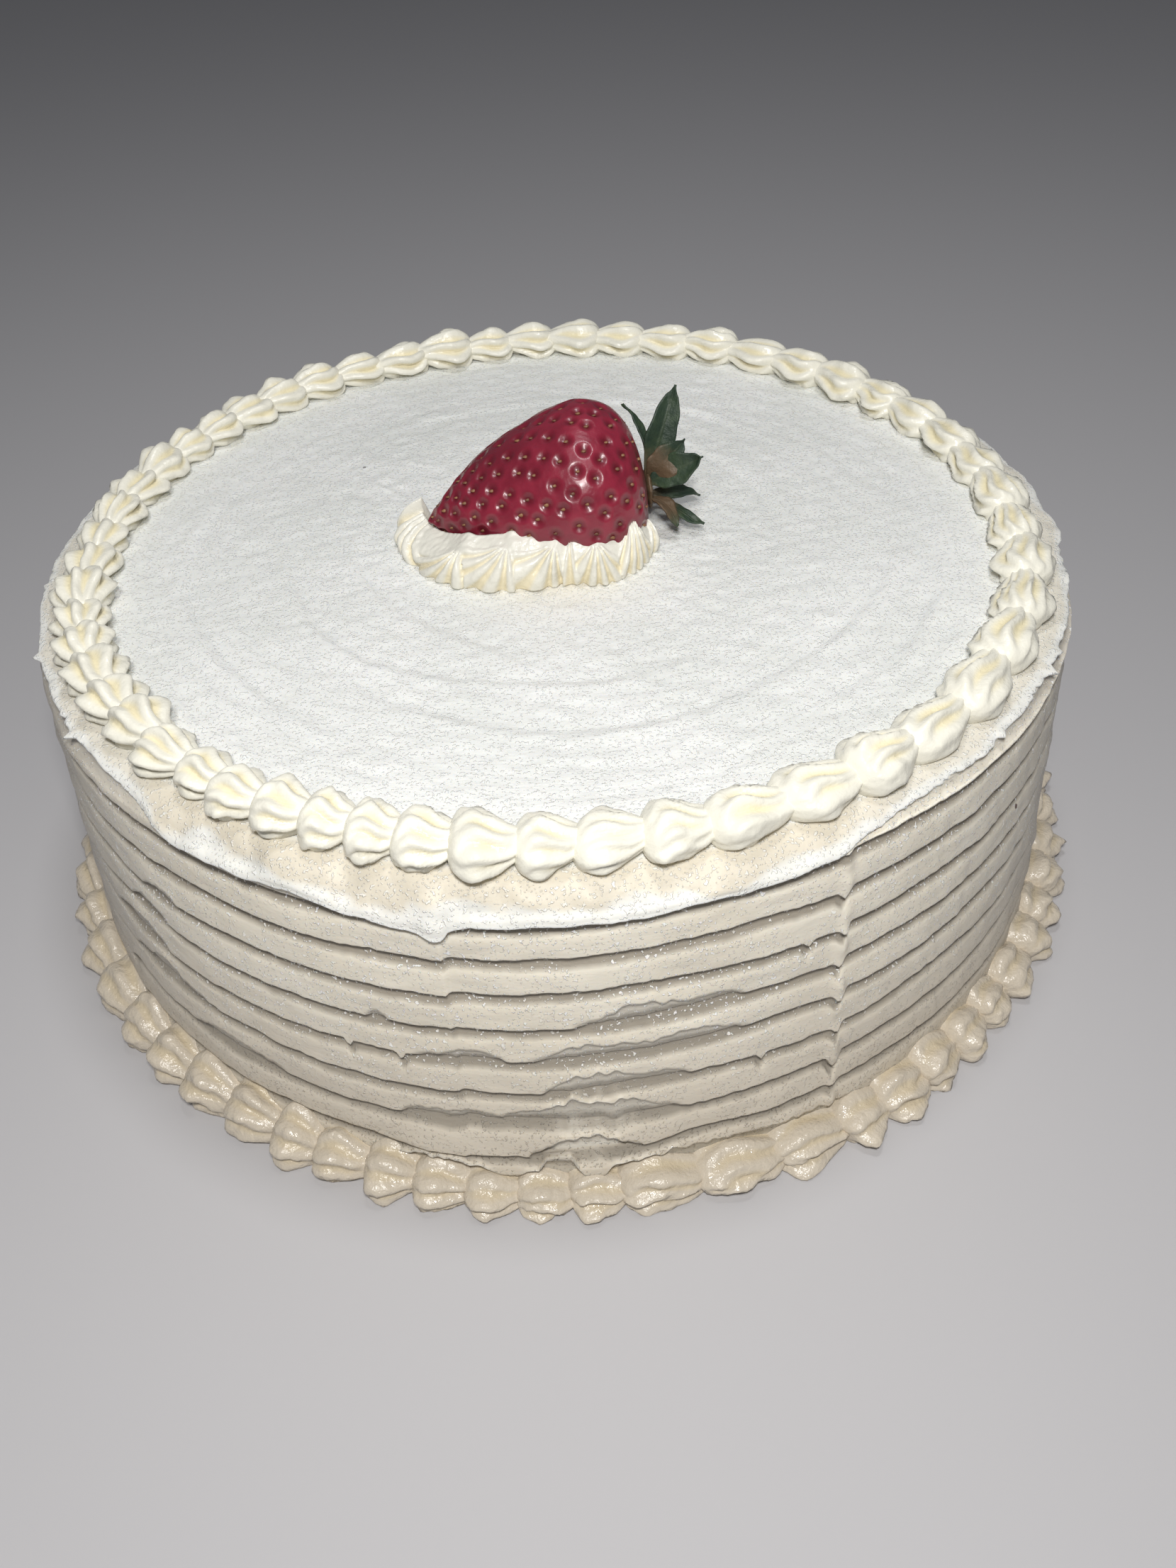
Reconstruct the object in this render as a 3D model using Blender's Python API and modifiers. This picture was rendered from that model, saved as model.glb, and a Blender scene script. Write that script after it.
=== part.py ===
"""A whole round layer cake, iced white, with a strawberry on top.

The side was drawn round with a comb, so it is eight lapped bands. A rope of piped shells
runs round the rim of the top, another round the foot, and a short row of shells holds the
strawberry. The cake is uncut, so its body is solid. The origin is the middle of the base.
"""

import math
import random

import bmesh
import bpy
from mathutils import Matrix, Vector

MM = 0.001
GAP = 0.3

# Body of the cake, in millimetres
TOP_Z = 88.0
TOP_FLAT_R = 113.0
FOOT_LIP_R = 126.3
LIP_R_LOSS = 3.0
BANDS = 8
FIRST_LIP_Z = 77.6
BAND_PITCH = 9.75
GROOVE_DEPTH = 2.4
BODY_STEPS = 60

# Rope of shells on the rim
RIM_R = 110.8
RIM_FORWARD = 3.0
RIM_HALF_WIDTH = 7.4
RIM_HEIGHT = 8.6
RIM_SHELLS = 53
RIM_PITCHES = ((-60, 6.0), (-20, 5.1), (5, 7.1), (45, 8.8), (95, 8.6), (150, 7.4), (200, 6.7), (260, 6.4))

# Rope of shells round the foot
FOOT_WALL_R = FOOT_LIP_R + GAP
FOOT_WIDTH = 10.4
FOOT_HEIGHT = 11.5
FOOT_SHELLS = 61
FOOT_PITCHES = ((-75, 6.6), (-45, 6.2), (-20, 4.8), (0, 5.8), (15, 8.6), (30, 5.3), (60, 5.8), (180, 6.2))
FOOT_HEIGHTS = ((-90, 1.08), (-45, 1.15), (-10, 0.92), (30, 0.9), (80, 1.0), (180, 1.05))

# Strawberry, lying on the top with its lowest side pressed into the icing
BERRY_CROWN = Vector((22.7, 3.0, 97.5))
BERRY_TIP = Vector((-29.6, -2.8, 95.3))
BERRY_R = 21.8
BERRY_SHOULDER = 0.35
BERRY_TAPER = 0.88
BERRY_SIDES = 24
BERRY_RINGS = 16

# Row of shells round the tip and the front of the strawberry
ROW_PATH = ((-20, 17), (-29, 11.5), (-33, 1.5), (-30.5, -8.5), (-23.5, -15.5),
            (-14, -18), (-4, -18.5), (6, -17.5), (15, -15.5), (21.5, -9.5))
ROW_SHELLS = 8
ROW_HALF_WIDTH = 6.8
ROW_HEIGHT = 11.5

# Leaves of the strawberry: tip, width, lift of the middle off the chord, and the way it faces
LEAF_THICKNESS = 0.8
HUB_R = 4.6
HUB_THICKNESS = 1.8
LEAVES = (
    ((31.1, 11.0, 120.2), 8.0, 1.6, (0.1, -0.9, 0.4)),
    ((19.9, 12.0, 115.8), 3.6, 1.0, (0.9, -0.3, 0.3)),
    ((32.8, 5.5, 108.4), 6.4, 2.2, (0.2, -0.9, 0.4)),
    ((37.0, -1.0, 108.8), 9.0, 1.2, (0.0, -0.75, 0.65)),
    ((37.4, 7.0, 93.4), 5.0, 0.6, (0.0, -0.5, 0.85)),
    ((30.2, -7.0, 92.4), 5.6, 1.6, (0.6, -0.7, 0.4)),
    ((36.6, -1.5, 90.6), 4.6, 1.4, (0.0, -0.2, 1.0)),
    ((31.5, 21.5, 105.5), 6.6, 1.5, (0.3, 0.9, 0.4)),
    ((31.0, 20.5, 93.2), 5.6, 1.2, (0.3, 0.4, 0.9)),
)

# Along one shell: part of its length and how full it is there, from the pinch to the tail
STATIONS = ((0.0, 0.55), (0.22, 1.0), (0.62, 0.88))
VALLEY = 0.76
SEED = 11


def clear_scene():
    for thing in list(bpy.data.objects):
        bpy.data.objects.remove(thing, do_unlink=True)


def collection(name):
    group = bpy.data.collections.new(name)
    bpy.context.scene.collection.children.link(group)
    return group


def material(name, colour, roughness):
    made = bpy.data.materials.new(name)
    made.use_nodes = True
    shader = made.node_tree.nodes["Principled BSDF"]
    shader.inputs["Base Color"].default_value = (*colour, 1.0)
    shader.inputs["Roughness"].default_value = roughness
    shader.inputs["Metallic"].default_value = 0.0
    return made


def add(name, mesh, look, group):
    """Put a mesh in the scene as one named part, shaded smooth across its gentle edges."""
    thing = bpy.data.objects.new(name, mesh)
    mesh.materials.clear()
    mesh.materials.append(look)
    mesh.shade_smooth()
    mesh.set_sharp_from_angle(angle=math.radians(50))
    group.objects.link(thing)
    return thing


def between(rows, azimuth):
    """Read a value at an azimuth from rows of (azimuth, value) that run once round."""
    azimuth = (azimuth - rows[0][0]) % 360 + rows[0][0]
    closed = rows + ((rows[0][0] + 360, rows[0][1]),)
    for (a, low), (b, high) in zip(closed, closed[1:]):
        if azimuth <= b:
            return low + (high - low) * (azimuth - a) / (b - a)
    return rows[0][1]


def shell_starts(count, pitches, draw):
    """Azimuths at which the shells of a rope start, spaced as the hand that piped them did."""
    azimuth = pitches[0][0]
    starts = [azimuth]
    for _ in range(count):
        azimuth += between(pitches, azimuth) * draw.uniform(0.9, 1.1)
        starts.append(azimuth)
    scale = 360 / (starts[-1] - starts[0])
    return [starts[0] + (s - starts[0]) * scale for s in starts]


def rim_section():
    """Half-round fluted section, outer foot to inner foot, for a half width and height of 1."""
    ridges = 9
    points = [(0.9, 0.0)]
    for k in range(ridges):
        angle = math.pi * (k + 0.5) / ridges
        reach = VALLEY if k % 2 else 1.0
        points.append((reach * math.cos(angle), reach * math.sin(angle)))
    points.append((-0.9, 0.0))
    return points


def foot_section():
    """Fluted quarter-round section against the side of the cake, outer foot to inner foot."""
    return [(0.9, 0.0), (1.0, 0.24), (0.82, 0.36), (0.93, 0.62), (0.66, 0.64),
            (0.62, 0.94), (0.4, 0.8), (0.24, 1.0), (0.0, 0.76), (0.0, 0.0)]


def piped_ring(name, starts, section, place, draw, look, group):
    """A closed rope of shells: a torus whose rings swell at each shell's head and thin to its tail."""
    stations = len(STATIONS)
    rings = stations * (len(starts) - 1)
    bpy.ops.mesh.primitive_torus_add(
        major_segments=rings, minor_segments=len(section), major_radius=1.0, minor_radius=0.25)
    torus = bpy.context.object
    mesh = torus.data.copy()
    bpy.data.objects.remove(torus, do_unlink=True)
    sizes = [draw.uniform(0.93, 1.07) for _ in starts]
    for vertex in mesh.vertices:
        x, y, z = vertex.co
        ring = round(math.atan2(y, x) / math.tau * rings) % rings
        side = round(math.atan2(z, math.hypot(x, y) - 1.0) / math.tau * len(section)) % len(section)
        shell, station = divmod(ring, stations)
        part, swell = STATIONS[station]
        azimuth = starts[shell] + (starts[shell + 1] - starts[shell]) * part
        across, up = section[side]
        vertex.co = place(azimuth, across, up, swell * sizes[shell])
    return add(name, mesh, look, group)


def on_circle(radius, azimuth):
    """Point at an azimuth, counted from the front (-Y) towards the right (+X)."""
    angle = math.radians(azimuth)
    return Vector((radius * math.sin(angle), -radius * math.cos(angle), 0.0))


def rim_place(azimuth, across, up, swell):
    width = RIM_HALF_WIDTH * (0.3 + 0.7 * swell)
    point = on_circle(RIM_R + width * across, azimuth)
    point.y -= RIM_FORWARD
    point.z = TOP_Z + GAP + RIM_HEIGHT * swell * up
    return point * MM


def foot_place(azimuth, across, up, swell):
    width = FOOT_WIDTH * (0.3 + 0.7 * swell)
    point = on_circle(FOOT_WALL_R + width * across, azimuth)
    point.z = FOOT_HEIGHT * between(FOOT_HEIGHTS, azimuth) * (0.25 + 0.75 * swell) * up
    return point * MM


def cake_body(look, group):
    """The iced body, turned: a flat top, a soft shoulder and eight lapped bands down the side."""
    outline = [(0.0, TOP_Z), (TOP_FLAT_R, TOP_Z), (119.6, TOP_Z - 0.6), (122.0, TOP_Z - 3.6)]
    for band in range(BANDS + 1):
        lip_z = max(FIRST_LIP_Z - band * BAND_PITCH, 0.0)
        lip_r = FOOT_LIP_R - LIP_R_LOSS * lip_z / FIRST_LIP_Z
        outline.append((lip_r, lip_z + (0.5 if lip_z else 0.0)))
        if lip_z:
            outline.append((lip_r - GROOVE_DEPTH, lip_z - 0.5))
            outline.append((lip_r - 0.5, lip_z - 3.6))
    outline.append((0.0, 0.0))
    mesh = bpy.data.meshes.new("cake_body")
    edges = [(k, k + 1) for k in range(len(outline) - 1)]
    mesh.from_pydata([(r * MM, 0.0, z * MM) for r, z in outline], edges, [])
    body = add("cake_body", mesh, look, group)
    turn = body.modifiers.new("turn", "SCREW")
    turn.axis = "Z"
    turn.steps = BODY_STEPS
    turn.render_steps = BODY_STEPS
    turn.use_merge_vertices = True
    turn.merge_threshold = 0.00001
    turn.use_smooth_shade = True
    return body


def berry_radius(part, grow=0.0):
    """Radius of the strawberry at a part of its length, from crown (0) to tip (1)."""
    widest = BERRY_SHOULDER / (BERRY_SHOULDER + BERRY_TAPER)
    rise = (part / widest) ** BERRY_SHOULDER
    fall = ((1 - part) / (1 - widest)) ** BERRY_TAPER
    return BERRY_R * rise * fall + grow


def berry_mesh(name, grow=0.0, bottom=TOP_Z + GAP):
    """A turned berry about its own slanting axis, cut flat where it is pressed on the icing."""
    made = bmesh.new()
    bmesh.ops.create_uvsphere(made, u_segments=BERRY_SIDES, v_segments=BERRY_RINGS, radius=1.0)
    axis = (BERRY_TIP - BERRY_CROWN)
    length = axis.length + 2 * grow
    start = BERRY_CROWN - axis.normalized() * grow
    turned = axis.to_track_quat("Z", "Y").to_matrix()
    for vertex in made.verts:
        part = (1 - vertex.co.z) / 2
        flat = Vector((vertex.co.x, vertex.co.y, 0.0))
        if flat.length < 1e-6:
            local = Vector((0.0, 0.0, 0.0 if part < 0.5 else length))
        else:
            local = flat.normalized() * berry_radius(part, grow)
            local.z = part * length
        vertex.co = start + turned @ local
    everything = made.verts[:] + made.edges[:] + made.faces[:]
    cut = bmesh.ops.bisect_plane(
        made, geom=everything, dist=1e-5, plane_co=(0, 0, bottom), plane_no=(0, 0, -1), clear_outer=True)
    rim = [e for e in cut["geom_cut"] if isinstance(e, bmesh.types.BMEdge)]
    bmesh.ops.contextual_create(made, geom=rim)
    bmesh.ops.recalc_face_normals(made, faces=made.faces[:])
    bmesh.ops.scale(made, vec=(MM, MM, MM), verts=made.verts[:])
    mesh = bpy.data.meshes.new(name)
    made.to_mesh(mesh)
    made.free()
    return mesh


def row_point(part):
    """Point and heading on the smooth line through the row's path, for a part from 0 to 1."""
    points = [Vector((x, y, 0.0)) for x, y in ROW_PATH]
    points = [2 * points[0] - points[1]] + points + [2 * points[-1] - points[-2]]
    reach = part * (len(ROW_PATH) - 1)
    k = min(int(reach), len(ROW_PATH) - 2)
    t = reach - k
    a, b, c, d = points[k:k + 4]
    point = 0.5 * ((2 * b) + (c - a) * t + (2 * a - 5 * b + 4 * c - d) * t ** 2
                   + (3 * b - a - 3 * c + d) * t ** 3)
    heading = 0.5 * ((c - a) + 2 * (2 * a - 5 * b + 4 * c - d) * t + 3 * (3 * b - a - 3 * c + d) * t ** 2)
    return point, heading.normalized()


def shell_row(draw, look, group):
    """The short row of shells: a sphere stretched along the path, closed to a point at each end."""
    section = rim_section()
    stations = len(STATIONS)
    rings = ROW_SHELLS * stations + 1
    made = bmesh.new()
    bmesh.ops.create_uvsphere(made, u_segments=len(section), v_segments=rings, radius=1.0)
    sizes = [draw.uniform(0.92, 1.08) for _ in range(ROW_SHELLS + 1)]
    for vertex in made.verts:
        x, y, z = vertex.co
        ring = round(math.acos(max(-1.0, min(1.0, z))) / math.pi * rings)
        side = round(math.atan2(y, x) / math.tau * len(section)) % len(section)
        shell, station = divmod(min(ring, rings - 1), stations)
        part, swell = STATIONS[station]
        reach = min((shell + part) / ROW_SHELLS, 1.0)
        point, heading = row_point(reach)
        outward = Vector((heading.y, -heading.x, 0.0))
        if ring in (0, rings):
            point += heading * (-1.0 if ring == 0 else 1.0)
            point.z = TOP_Z + GAP + 2.0
        else:
            swell *= sizes[shell]
            across, up = section[side]
            point += outward * (ROW_HALF_WIDTH * (0.3 + 0.7 * swell) * across)
            point.z = TOP_Z + GAP + ROW_HEIGHT * swell * up
        vertex.co = point * MM
    bmesh.ops.recalc_face_normals(made, faces=made.faces[:])
    mesh = bpy.data.meshes.new("centre_shell_row")
    made.to_mesh(mesh)
    made.free()
    return add("centre_shell_row", mesh, look, group)


def leaf(number, tip, width, lift, facing, hub, look, group):
    """One pointed, cupped leaf from the hub to its tip: a shaped grid given a thickness."""
    tip = Vector(tip)
    chord = tip - hub
    side = chord.cross(Vector(facing)).normalized()
    normal = side.cross(chord).normalized()
    made = bmesh.new()
    bmesh.ops.create_grid(made, x_segments=7, y_segments=2, size=1.0)
    for vertex in made.verts:
        along = (vertex.co.x + 1) / 2
        half = 0.5 * width * (0.34 + 1.0 * math.sin(math.pi * along ** 0.85) ** 0.9) / 1.34
        half *= 1.0 if along < 0.999 else 0.12
        across = vertex.co.y * half
        cup = 0.22 * abs(across) + 0.25 * math.sin(5.0 * along + number) * vertex.co.y
        vertex.co = hub + chord * along + side * across + normal * (
            lift * math.sin(math.pi * along) + cup)
    bmesh.ops.triangulate(made, faces=made.faces[:])
    bmesh.ops.scale(made, vec=(MM, MM, MM), verts=made.verts[:])
    mesh = bpy.data.meshes.new("leaf_%d" % number)
    made.to_mesh(mesh)
    made.free()
    thing = add("leaf_%d" % number, mesh, look, group)
    wall = thing.modifiers.new("thickness", "SOLIDIFY")
    wall.thickness = LEAF_THICKNESS * MM
    wall.offset = 0.0
    return thing


def calyx(look, group, helpers):
    """The hub at the crown of the strawberry, with all its leaves joined to it."""
    outward = (BERRY_CROWN - BERRY_TIP).normalized()
    middle = BERRY_CROWN + outward * (GAP + HUB_THICKNESS / 2)
    made = bmesh.new()
    turned = Matrix.Translation(middle) @ outward.to_track_quat("Z", "Y").to_matrix().to_4x4()
    bmesh.ops.create_cone(
        made, cap_ends=True, segments=16, radius1=HUB_R, radius2=HUB_R * 0.7, depth=HUB_THICKNESS, matrix=turned)
    bmesh.ops.scale(made, vec=(MM, MM, MM), verts=made.verts[:])
    mesh = bpy.data.meshes.new("strawberry_calyx")
    made.to_mesh(mesh)
    made.free()
    hub = add("strawberry_calyx", mesh, look, group)
    for number, (tip, width, lift, facing) in enumerate(LEAVES, 1):
        spread = Vector(tip) - middle
        spread -= outward * spread.dot(outward)
        root = middle + spread.normalized() * (HUB_R * 0.6)
        leaf(number, tip, width, lift, facing, root, look, helpers)
    join = hub.modifiers.new("leaves", "BOOLEAN")
    join.operation = "UNION"
    join.operand_type = "COLLECTION"
    join.collection = helpers
    join.solver = "MANIFOLD"
    apply_modifiers(hub)
    for thing in list(helpers.objects):
        bpy.data.objects.remove(thing, do_unlink=True)
    return hub


def apply_modifiers(thing):
    """Keep the evaluated mesh and drop the modifiers that made it."""
    graph = bpy.context.evaluated_depsgraph_get()
    mesh = bpy.data.meshes.new_from_object(thing.evaluated_get(graph))
    thing.modifiers.clear()
    thing.data = mesh


def clear_of_berry(row, helpers):
    """Cut the strawberry's room out of the row of shells, with a small gap."""
    cutter = bpy.data.objects.new("berry_room", berry_mesh("berry_room", GAP, TOP_Z - 2.0))
    cutter.hide_render = True
    cutter.display_type = "WIRE"
    helpers.objects.link(cutter)
    cut = row.modifiers.new("berry room", "BOOLEAN")
    cut.operation = "DIFFERENCE"
    cut.object = cutter
    cut.solver = "EXACT"


def main():
    clear_scene()
    draw = random.Random(SEED)
    cake = collection("iced layer cake")
    helpers = collection("cutters")
    leaves = collection("leaves")
    icing = material("white icing", (0.86, 0.85, 0.80), 0.6)
    piping = material("cream piping", (0.86, 0.82, 0.68), 0.45)
    berry_red = material("strawberry red", (0.42, 0.02, 0.04), 0.25)
    leaf_green = material("leaf green", (0.05, 0.11, 0.05), 0.55)

    cake_body(icing, cake)
    piped_ring("top_shell_border", shell_starts(RIM_SHELLS, RIM_PITCHES, draw),
               rim_section(), rim_place, draw, piping, cake)
    piped_ring("bottom_shell_border", shell_starts(FOOT_SHELLS, FOOT_PITCHES, draw),
               foot_section(), foot_place, draw, piping, cake)
    add("strawberry", berry_mesh("strawberry"), berry_red, cake)
    row = shell_row(draw, piping, cake)
    clear_of_berry(row, helpers)
    calyx(leaf_green, cake, leaves)


main()
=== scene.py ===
"""Looks of a round layer cake: combed white icing, piped shell borders and a strawberry."""
import math
import random

import bpy
import numpy as np
from mathutils import Matrix, Vector


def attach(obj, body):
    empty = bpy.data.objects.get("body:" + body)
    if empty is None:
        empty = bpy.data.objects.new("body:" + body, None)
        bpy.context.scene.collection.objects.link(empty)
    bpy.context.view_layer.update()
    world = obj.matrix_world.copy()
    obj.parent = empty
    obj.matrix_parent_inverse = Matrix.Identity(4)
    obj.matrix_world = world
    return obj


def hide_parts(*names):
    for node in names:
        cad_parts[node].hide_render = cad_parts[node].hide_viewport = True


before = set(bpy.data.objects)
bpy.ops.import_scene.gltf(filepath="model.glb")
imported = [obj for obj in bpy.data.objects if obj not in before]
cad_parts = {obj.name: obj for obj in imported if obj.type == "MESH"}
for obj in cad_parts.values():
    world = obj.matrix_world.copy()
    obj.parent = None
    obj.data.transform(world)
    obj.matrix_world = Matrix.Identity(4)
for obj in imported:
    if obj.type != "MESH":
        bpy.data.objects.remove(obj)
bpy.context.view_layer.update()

MM = 0.001

# Body of the cake, in millimetres, as the solids have it
TOP_Z = 88.0
TOP_FLAT_R = 113.0
SHOULDER_R = 122.0
SIDE_R = 124.0
FOOT_LIP_R = 126.3
LIP_R_LOSS = 3.0
FIRST_LIP_Z = 78.5
BAND_PITCH = 9.6
LIPS = 8
SEED = 11

# Rope of shells on the rim, and rope of shells round the foot
RIM_R = 110.8
RIM_FORWARD = 3.0
RIM_HALF_WIDTH = 7.4
RIM_HEIGHT = 8.6
RIM_SHELLS = 53
RIM_PITCHES = ((-60, 6.0), (-20, 5.1), (5, 7.1), (45, 8.8), (95, 8.6), (150, 7.4), (200, 6.7), (260, 6.4))
FOOT_WALL_R = 126.6
FOOT_WIDTH = 10.4
FOOT_HEIGHT = 11.5
FOOT_SHELLS = 61
FOOT_PITCHES = ((-75, 6.6), (-45, 6.2), (-20, 4.8), (0, 5.8), (15, 8.6), (30, 5.3), (60, 5.8), (180, 6.2))
FOOT_HEIGHTS = ((-90, 1.08), (-45, 1.15), (-10, 0.92), (30, 0.9), (80, 1.0), (180, 1.05))

# How much a shell is smeared flat, and how crisp its ridges are, by azimuth
RIM_SMEARS = ((-30, 0.0), (-4, 0.15), (2, 0.45), (6, 0.75), (11, 0.35), (16, 0.0), (180, 0.05))
RIM_CRISPNESS = ((-90, 0.65), (-35, 0.65), (-10, 0.75), (20, 0.95), (80, 1.1), (150, 0.8), (220, 0.6))
RIM_CALM = ((-60, 0.1), (-20, 0.2), (5, 0.4), (15, 0.75), (60, 0.7), (100, 0.3), (200, 0.1))
RIM_KNOBS = ((-100, 0.9), (-50, 0.8), (-36, 0.25), (-15, 0.0), (40, 0.1), (75, 0.3), (140, 0.5), (220, 0.8))
FOOT_SMEARS = ((-30, 0.0), (-14, 0.3), (0, 0.4), (10, 0.45), (16, 0.85), (24, 0.8), (32, 0.5), (45, 0.15),
               (70, 0.0), (180, 0.05))

# Lower edge of the smooth icing that laps over the side, by azimuth
SKIRT_LIPS = ((-60, 86.9), (-51, 86.9), (-48, 86.6), (-42.6, 84.8), (-38.7, 82.2), (-31, 82.0),
              (-26, 82.6), (-22, 80.8), (-18, 79.7), (-14, 78.1), (-12, 77.0), (-11.4, 77.2),
              (-10.9, 79.2), (-9, 80.4), (-3, 80.7), (1, 80.8), (5.7, 81.2), (10.6, 82.4),
              (18, 82.8), (24, 83.6), (28, 85.2), (33, 86.4), (60, 86.9))
TORN_EDGE = ((-100, 0.5), (-60, 0.8), (-36, 0.3), (28, 0.3), (38, 1.0), (72, 1.1), (95, 0.6), (180, 0.35))

# Spikes of the torn edge: azimuth, half width in degrees and length
SPIKES = ((-86, 0.35, 1.4), (-72, 0.4, 1.6), (-57, 0.4, 1.9), (46, 0.4, 1.4), (58, 0.4, 2.0),
          (61.5, 0.3, 1.5))

# Lips left by the comb: how far they tilt, by azimuth, with a jump at each seam
LIP_TILTS = ((-170, 0.8), (-60, 1.4), (-28, 1.2), (-11.9, 0.8), (-11.5, 1.6), (-2, 1.5), (7, 2.8),
             (13.5, 3.5), (24.9, 3.2), (25.4, 4.0), (32, 4.2), (60, 3.4), (110, 1.4))
LEFT_SEAM = -11.7
RIGHT_SEAM = 25.3

# Section of a band, from the lip above it: the slot that the comb cut, as drops, offsets outwards
# and painted shade, the band's face, the lip's edge and the bare icing below it
SLOT_DROPS = (0.0, 1.1, 2.1, 2.9, 3.9)
SLOT_OFFSETS = (-1.5, -1.5, -1.45, -1.0, -0.3)
SLOT_PAINTED_SHADE = (1.0, 1.0, 1.0, 1.0, 0.0)
SLOT_END = 4
FACE_END = 8
LIP_ROW = 9
BAND_ROWS = 13
WHOLE_LIP = 0.45

# Places where a lip is torn away: lip, start and end azimuth, and how far up
TEARS = ((3, -1.8, 16.0, 3.2), (4, -16.8, -6.4, 2.4), (4, -7.2, 17.0, 4.0), (5, -4.6, 10.5, 4.8),
         (6, -19.0, -7.0, 2.7), (6, -9.0, 9.4, 5.2), (7, -6.0, 5.6, 5.4), (2, -47.0, -41.0, 2.2),
         (3, -51.0, -44.0, 3.0), (4, -56.0, -45.0, 3.2), (5, -54.0, -40.0, 3.4), (6, -45.0, -30.0, 2.6),
         (3, -20.3, -17.8, 1.8), (2, 62.0, 71.0, 2.0), (5, 78.0, 94.0, 2.4), (5, 133.0, 151.0, 3.0),
         (2, -136.0, -120.0, 2.5), (6, -168.0, -150.0, 3.4))

# Ragged bottom of the combed icing, where it hangs over the foot, by azimuth
BOTTOM_EDGES = ((-30, 2.0), (-18, 9.0), (-14.6, 10.6), (-12, 9.4), (-9.8, 7.6), (-8.4, 6.2), (-7.1, 6.2),
                (-6.1, 7.8), (-5.0, 8.2), (-4.5, 10.2), (-3.8, 12.4), (-2.5, 13.0), (-1.7, 12.0), (-1.1, 8.6),
                (-0.6, 6.0), (0.4, 5.2), (1.2, 6.0), (1.9, 8.2), (2.7, 9.2), (6, 9.6), (17, 9.0), (25, 8.0),
                (35, 4.0), (60, 2.0), (180, 2.0))
OVERHANG = 1.5

# Rings of the side's closed top, which the smooth icing covers
CAP_RADII = (0.0, 60.0, 112.0, 117.0)
CAP_DROP = 2.2

# Smooth icing: rows of its flat and its shoulder, its thin edge, out and down, and its closed underside
FLAT_ROWS = 89
SHOULDER_ROWS = 34
EDGE_FORM = ((0.28, -0.2), (0.2, -0.5), (-0.25, -0.75), (-1.2, -0.8), (-4.0, -0.3))
UNDER_R = 60.0
UNDER_Z = 84.5

# Shreds that hang from a lip: lip, azimuth, half width in degrees and how far down
TABS = ((4, -17.2, 0.3, 2.6), (4, -22.5, 0.28, 1.8), (5, 17.0, 0.35, 1.8), (2, 21.4, 0.4, 1.6),
        (6, 2.6, 0.7, 1.4), (1, 24.9, 0.5, 1.6), (2, 25.2, 0.45, 1.2), (3, 25.0, 0.5, 1.3),
        (4, 25.1, 0.5, 2.0), (5, 25.2, 0.4, 1.4), (6, 25.2, 0.55, 4.2), (6, -58, 1.0, 2.4),
        (3, 96, 0.5, 2.0), (5, -140, 0.8, 2.6))

# Arcs that the spatula drew on the top: radius, middle and half width as azimuths, height and drift
ARCS = ((47, -60, 70, 0.48, 0.03), (63, -30, 75, 0.54, -0.04), (78, 25, 80, 0.51, 0.05),
        (88, -70, 50, 0.45, 0.02), (56, 110, 60, 0.42, 0.05), (72, 170, 60, 0.45, -0.03),
        (92, 80, 45, 0.45, 0.0))

# Dabs of icing that the spatula left on the top: place, half length, turn and height
DABS = ((-32.0, 68.0, 6.0, 5, 0.7), (-34.0, 39.5, 4.0, -25, 0.6), (-43.0, 27.5, 3.6, -40, 0.6),
        (-26.5, 31.0, 3.0, 50, 0.5), (58.5, -42.0, 1.6, 20, 0.4), (30.0, 60.0, 5.0, -20, 0.4),
        (52.0, 30.0, 5.0, -50, 0.4))

# Crumbs: place, radius and colour
TOP_SPECKS = (((-48.7, 39.6, 88.0), 0.6, (0.3, 0.29, 0.29)),
              ((2.7, -88.2, 88.0), 0.4, (0.55, 0.55, 0.55)))
SIDE_SPECKS = (((58.6, -109.3, 84.3), 0.6, (0.25, 0.08, 0.05)),
               ((61.6, -107.6, 85.1), 0.35, (0.3, 0.1, 0.07)),
               ((98.2, -75.7, 58.0), 0.7, (0.14, 0.09, 0.08)))

# Strawberry, as the solid has it
BERRY_CROWN = Vector((22.7, 3.0, 97.5))
BERRY_TIP = Vector((-29.6, -2.8, 95.3))
BERRY_R = 21.8
BERRY_SHOULDER = 0.35
BERRY_TAPER = 0.88
BERRY_SWELL = 1.5
SEEDS = 300
GOLDEN_ANGLE = 137.508

# Leaves: tip, width, lift of the middle off the chord, the way it faces, and how brown it is
HUB_R = 4.6
HUB_THICKNESS = 1.8
LEAVES = (
    ((31.1, 11.0, 120.2), 7.2, 1.2, (0.1, -0.9, 0.4), -0.15),
    ((19.9, 12.0, 115.8), 2.8, 1.4, (0.9, -0.3, 0.3), 0.1),
    ((32.8, 4.0, 109.6), 8.0, 2.8, (0.1, -0.9, 0.4), 0.35),
    ((37.0, -1.8, 107.6), 7.6, 0.4, (0.0, -0.75, 0.65), -0.3),
    ((37.4, 7.0, 93.4), 3.8, 0.6, (0.0, -0.5, 0.85), -0.1),
    ((30.2, -7.0, 92.4), 4.6, 1.8, (0.6, -0.7, 0.4), 0.5),
    ((36.4, -4.2, 90.0), 3.4, 1.2, (0.0, -0.2, 1.0), 0.1),
    ((31.5, 21.5, 105.5), 6.6, 1.5, (0.3, 0.9, 0.4), 0.1),
    ((31.0, 20.5, 93.2), 5.6, 1.2, (0.3, 0.4, 0.9), 0.2),
)

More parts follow.
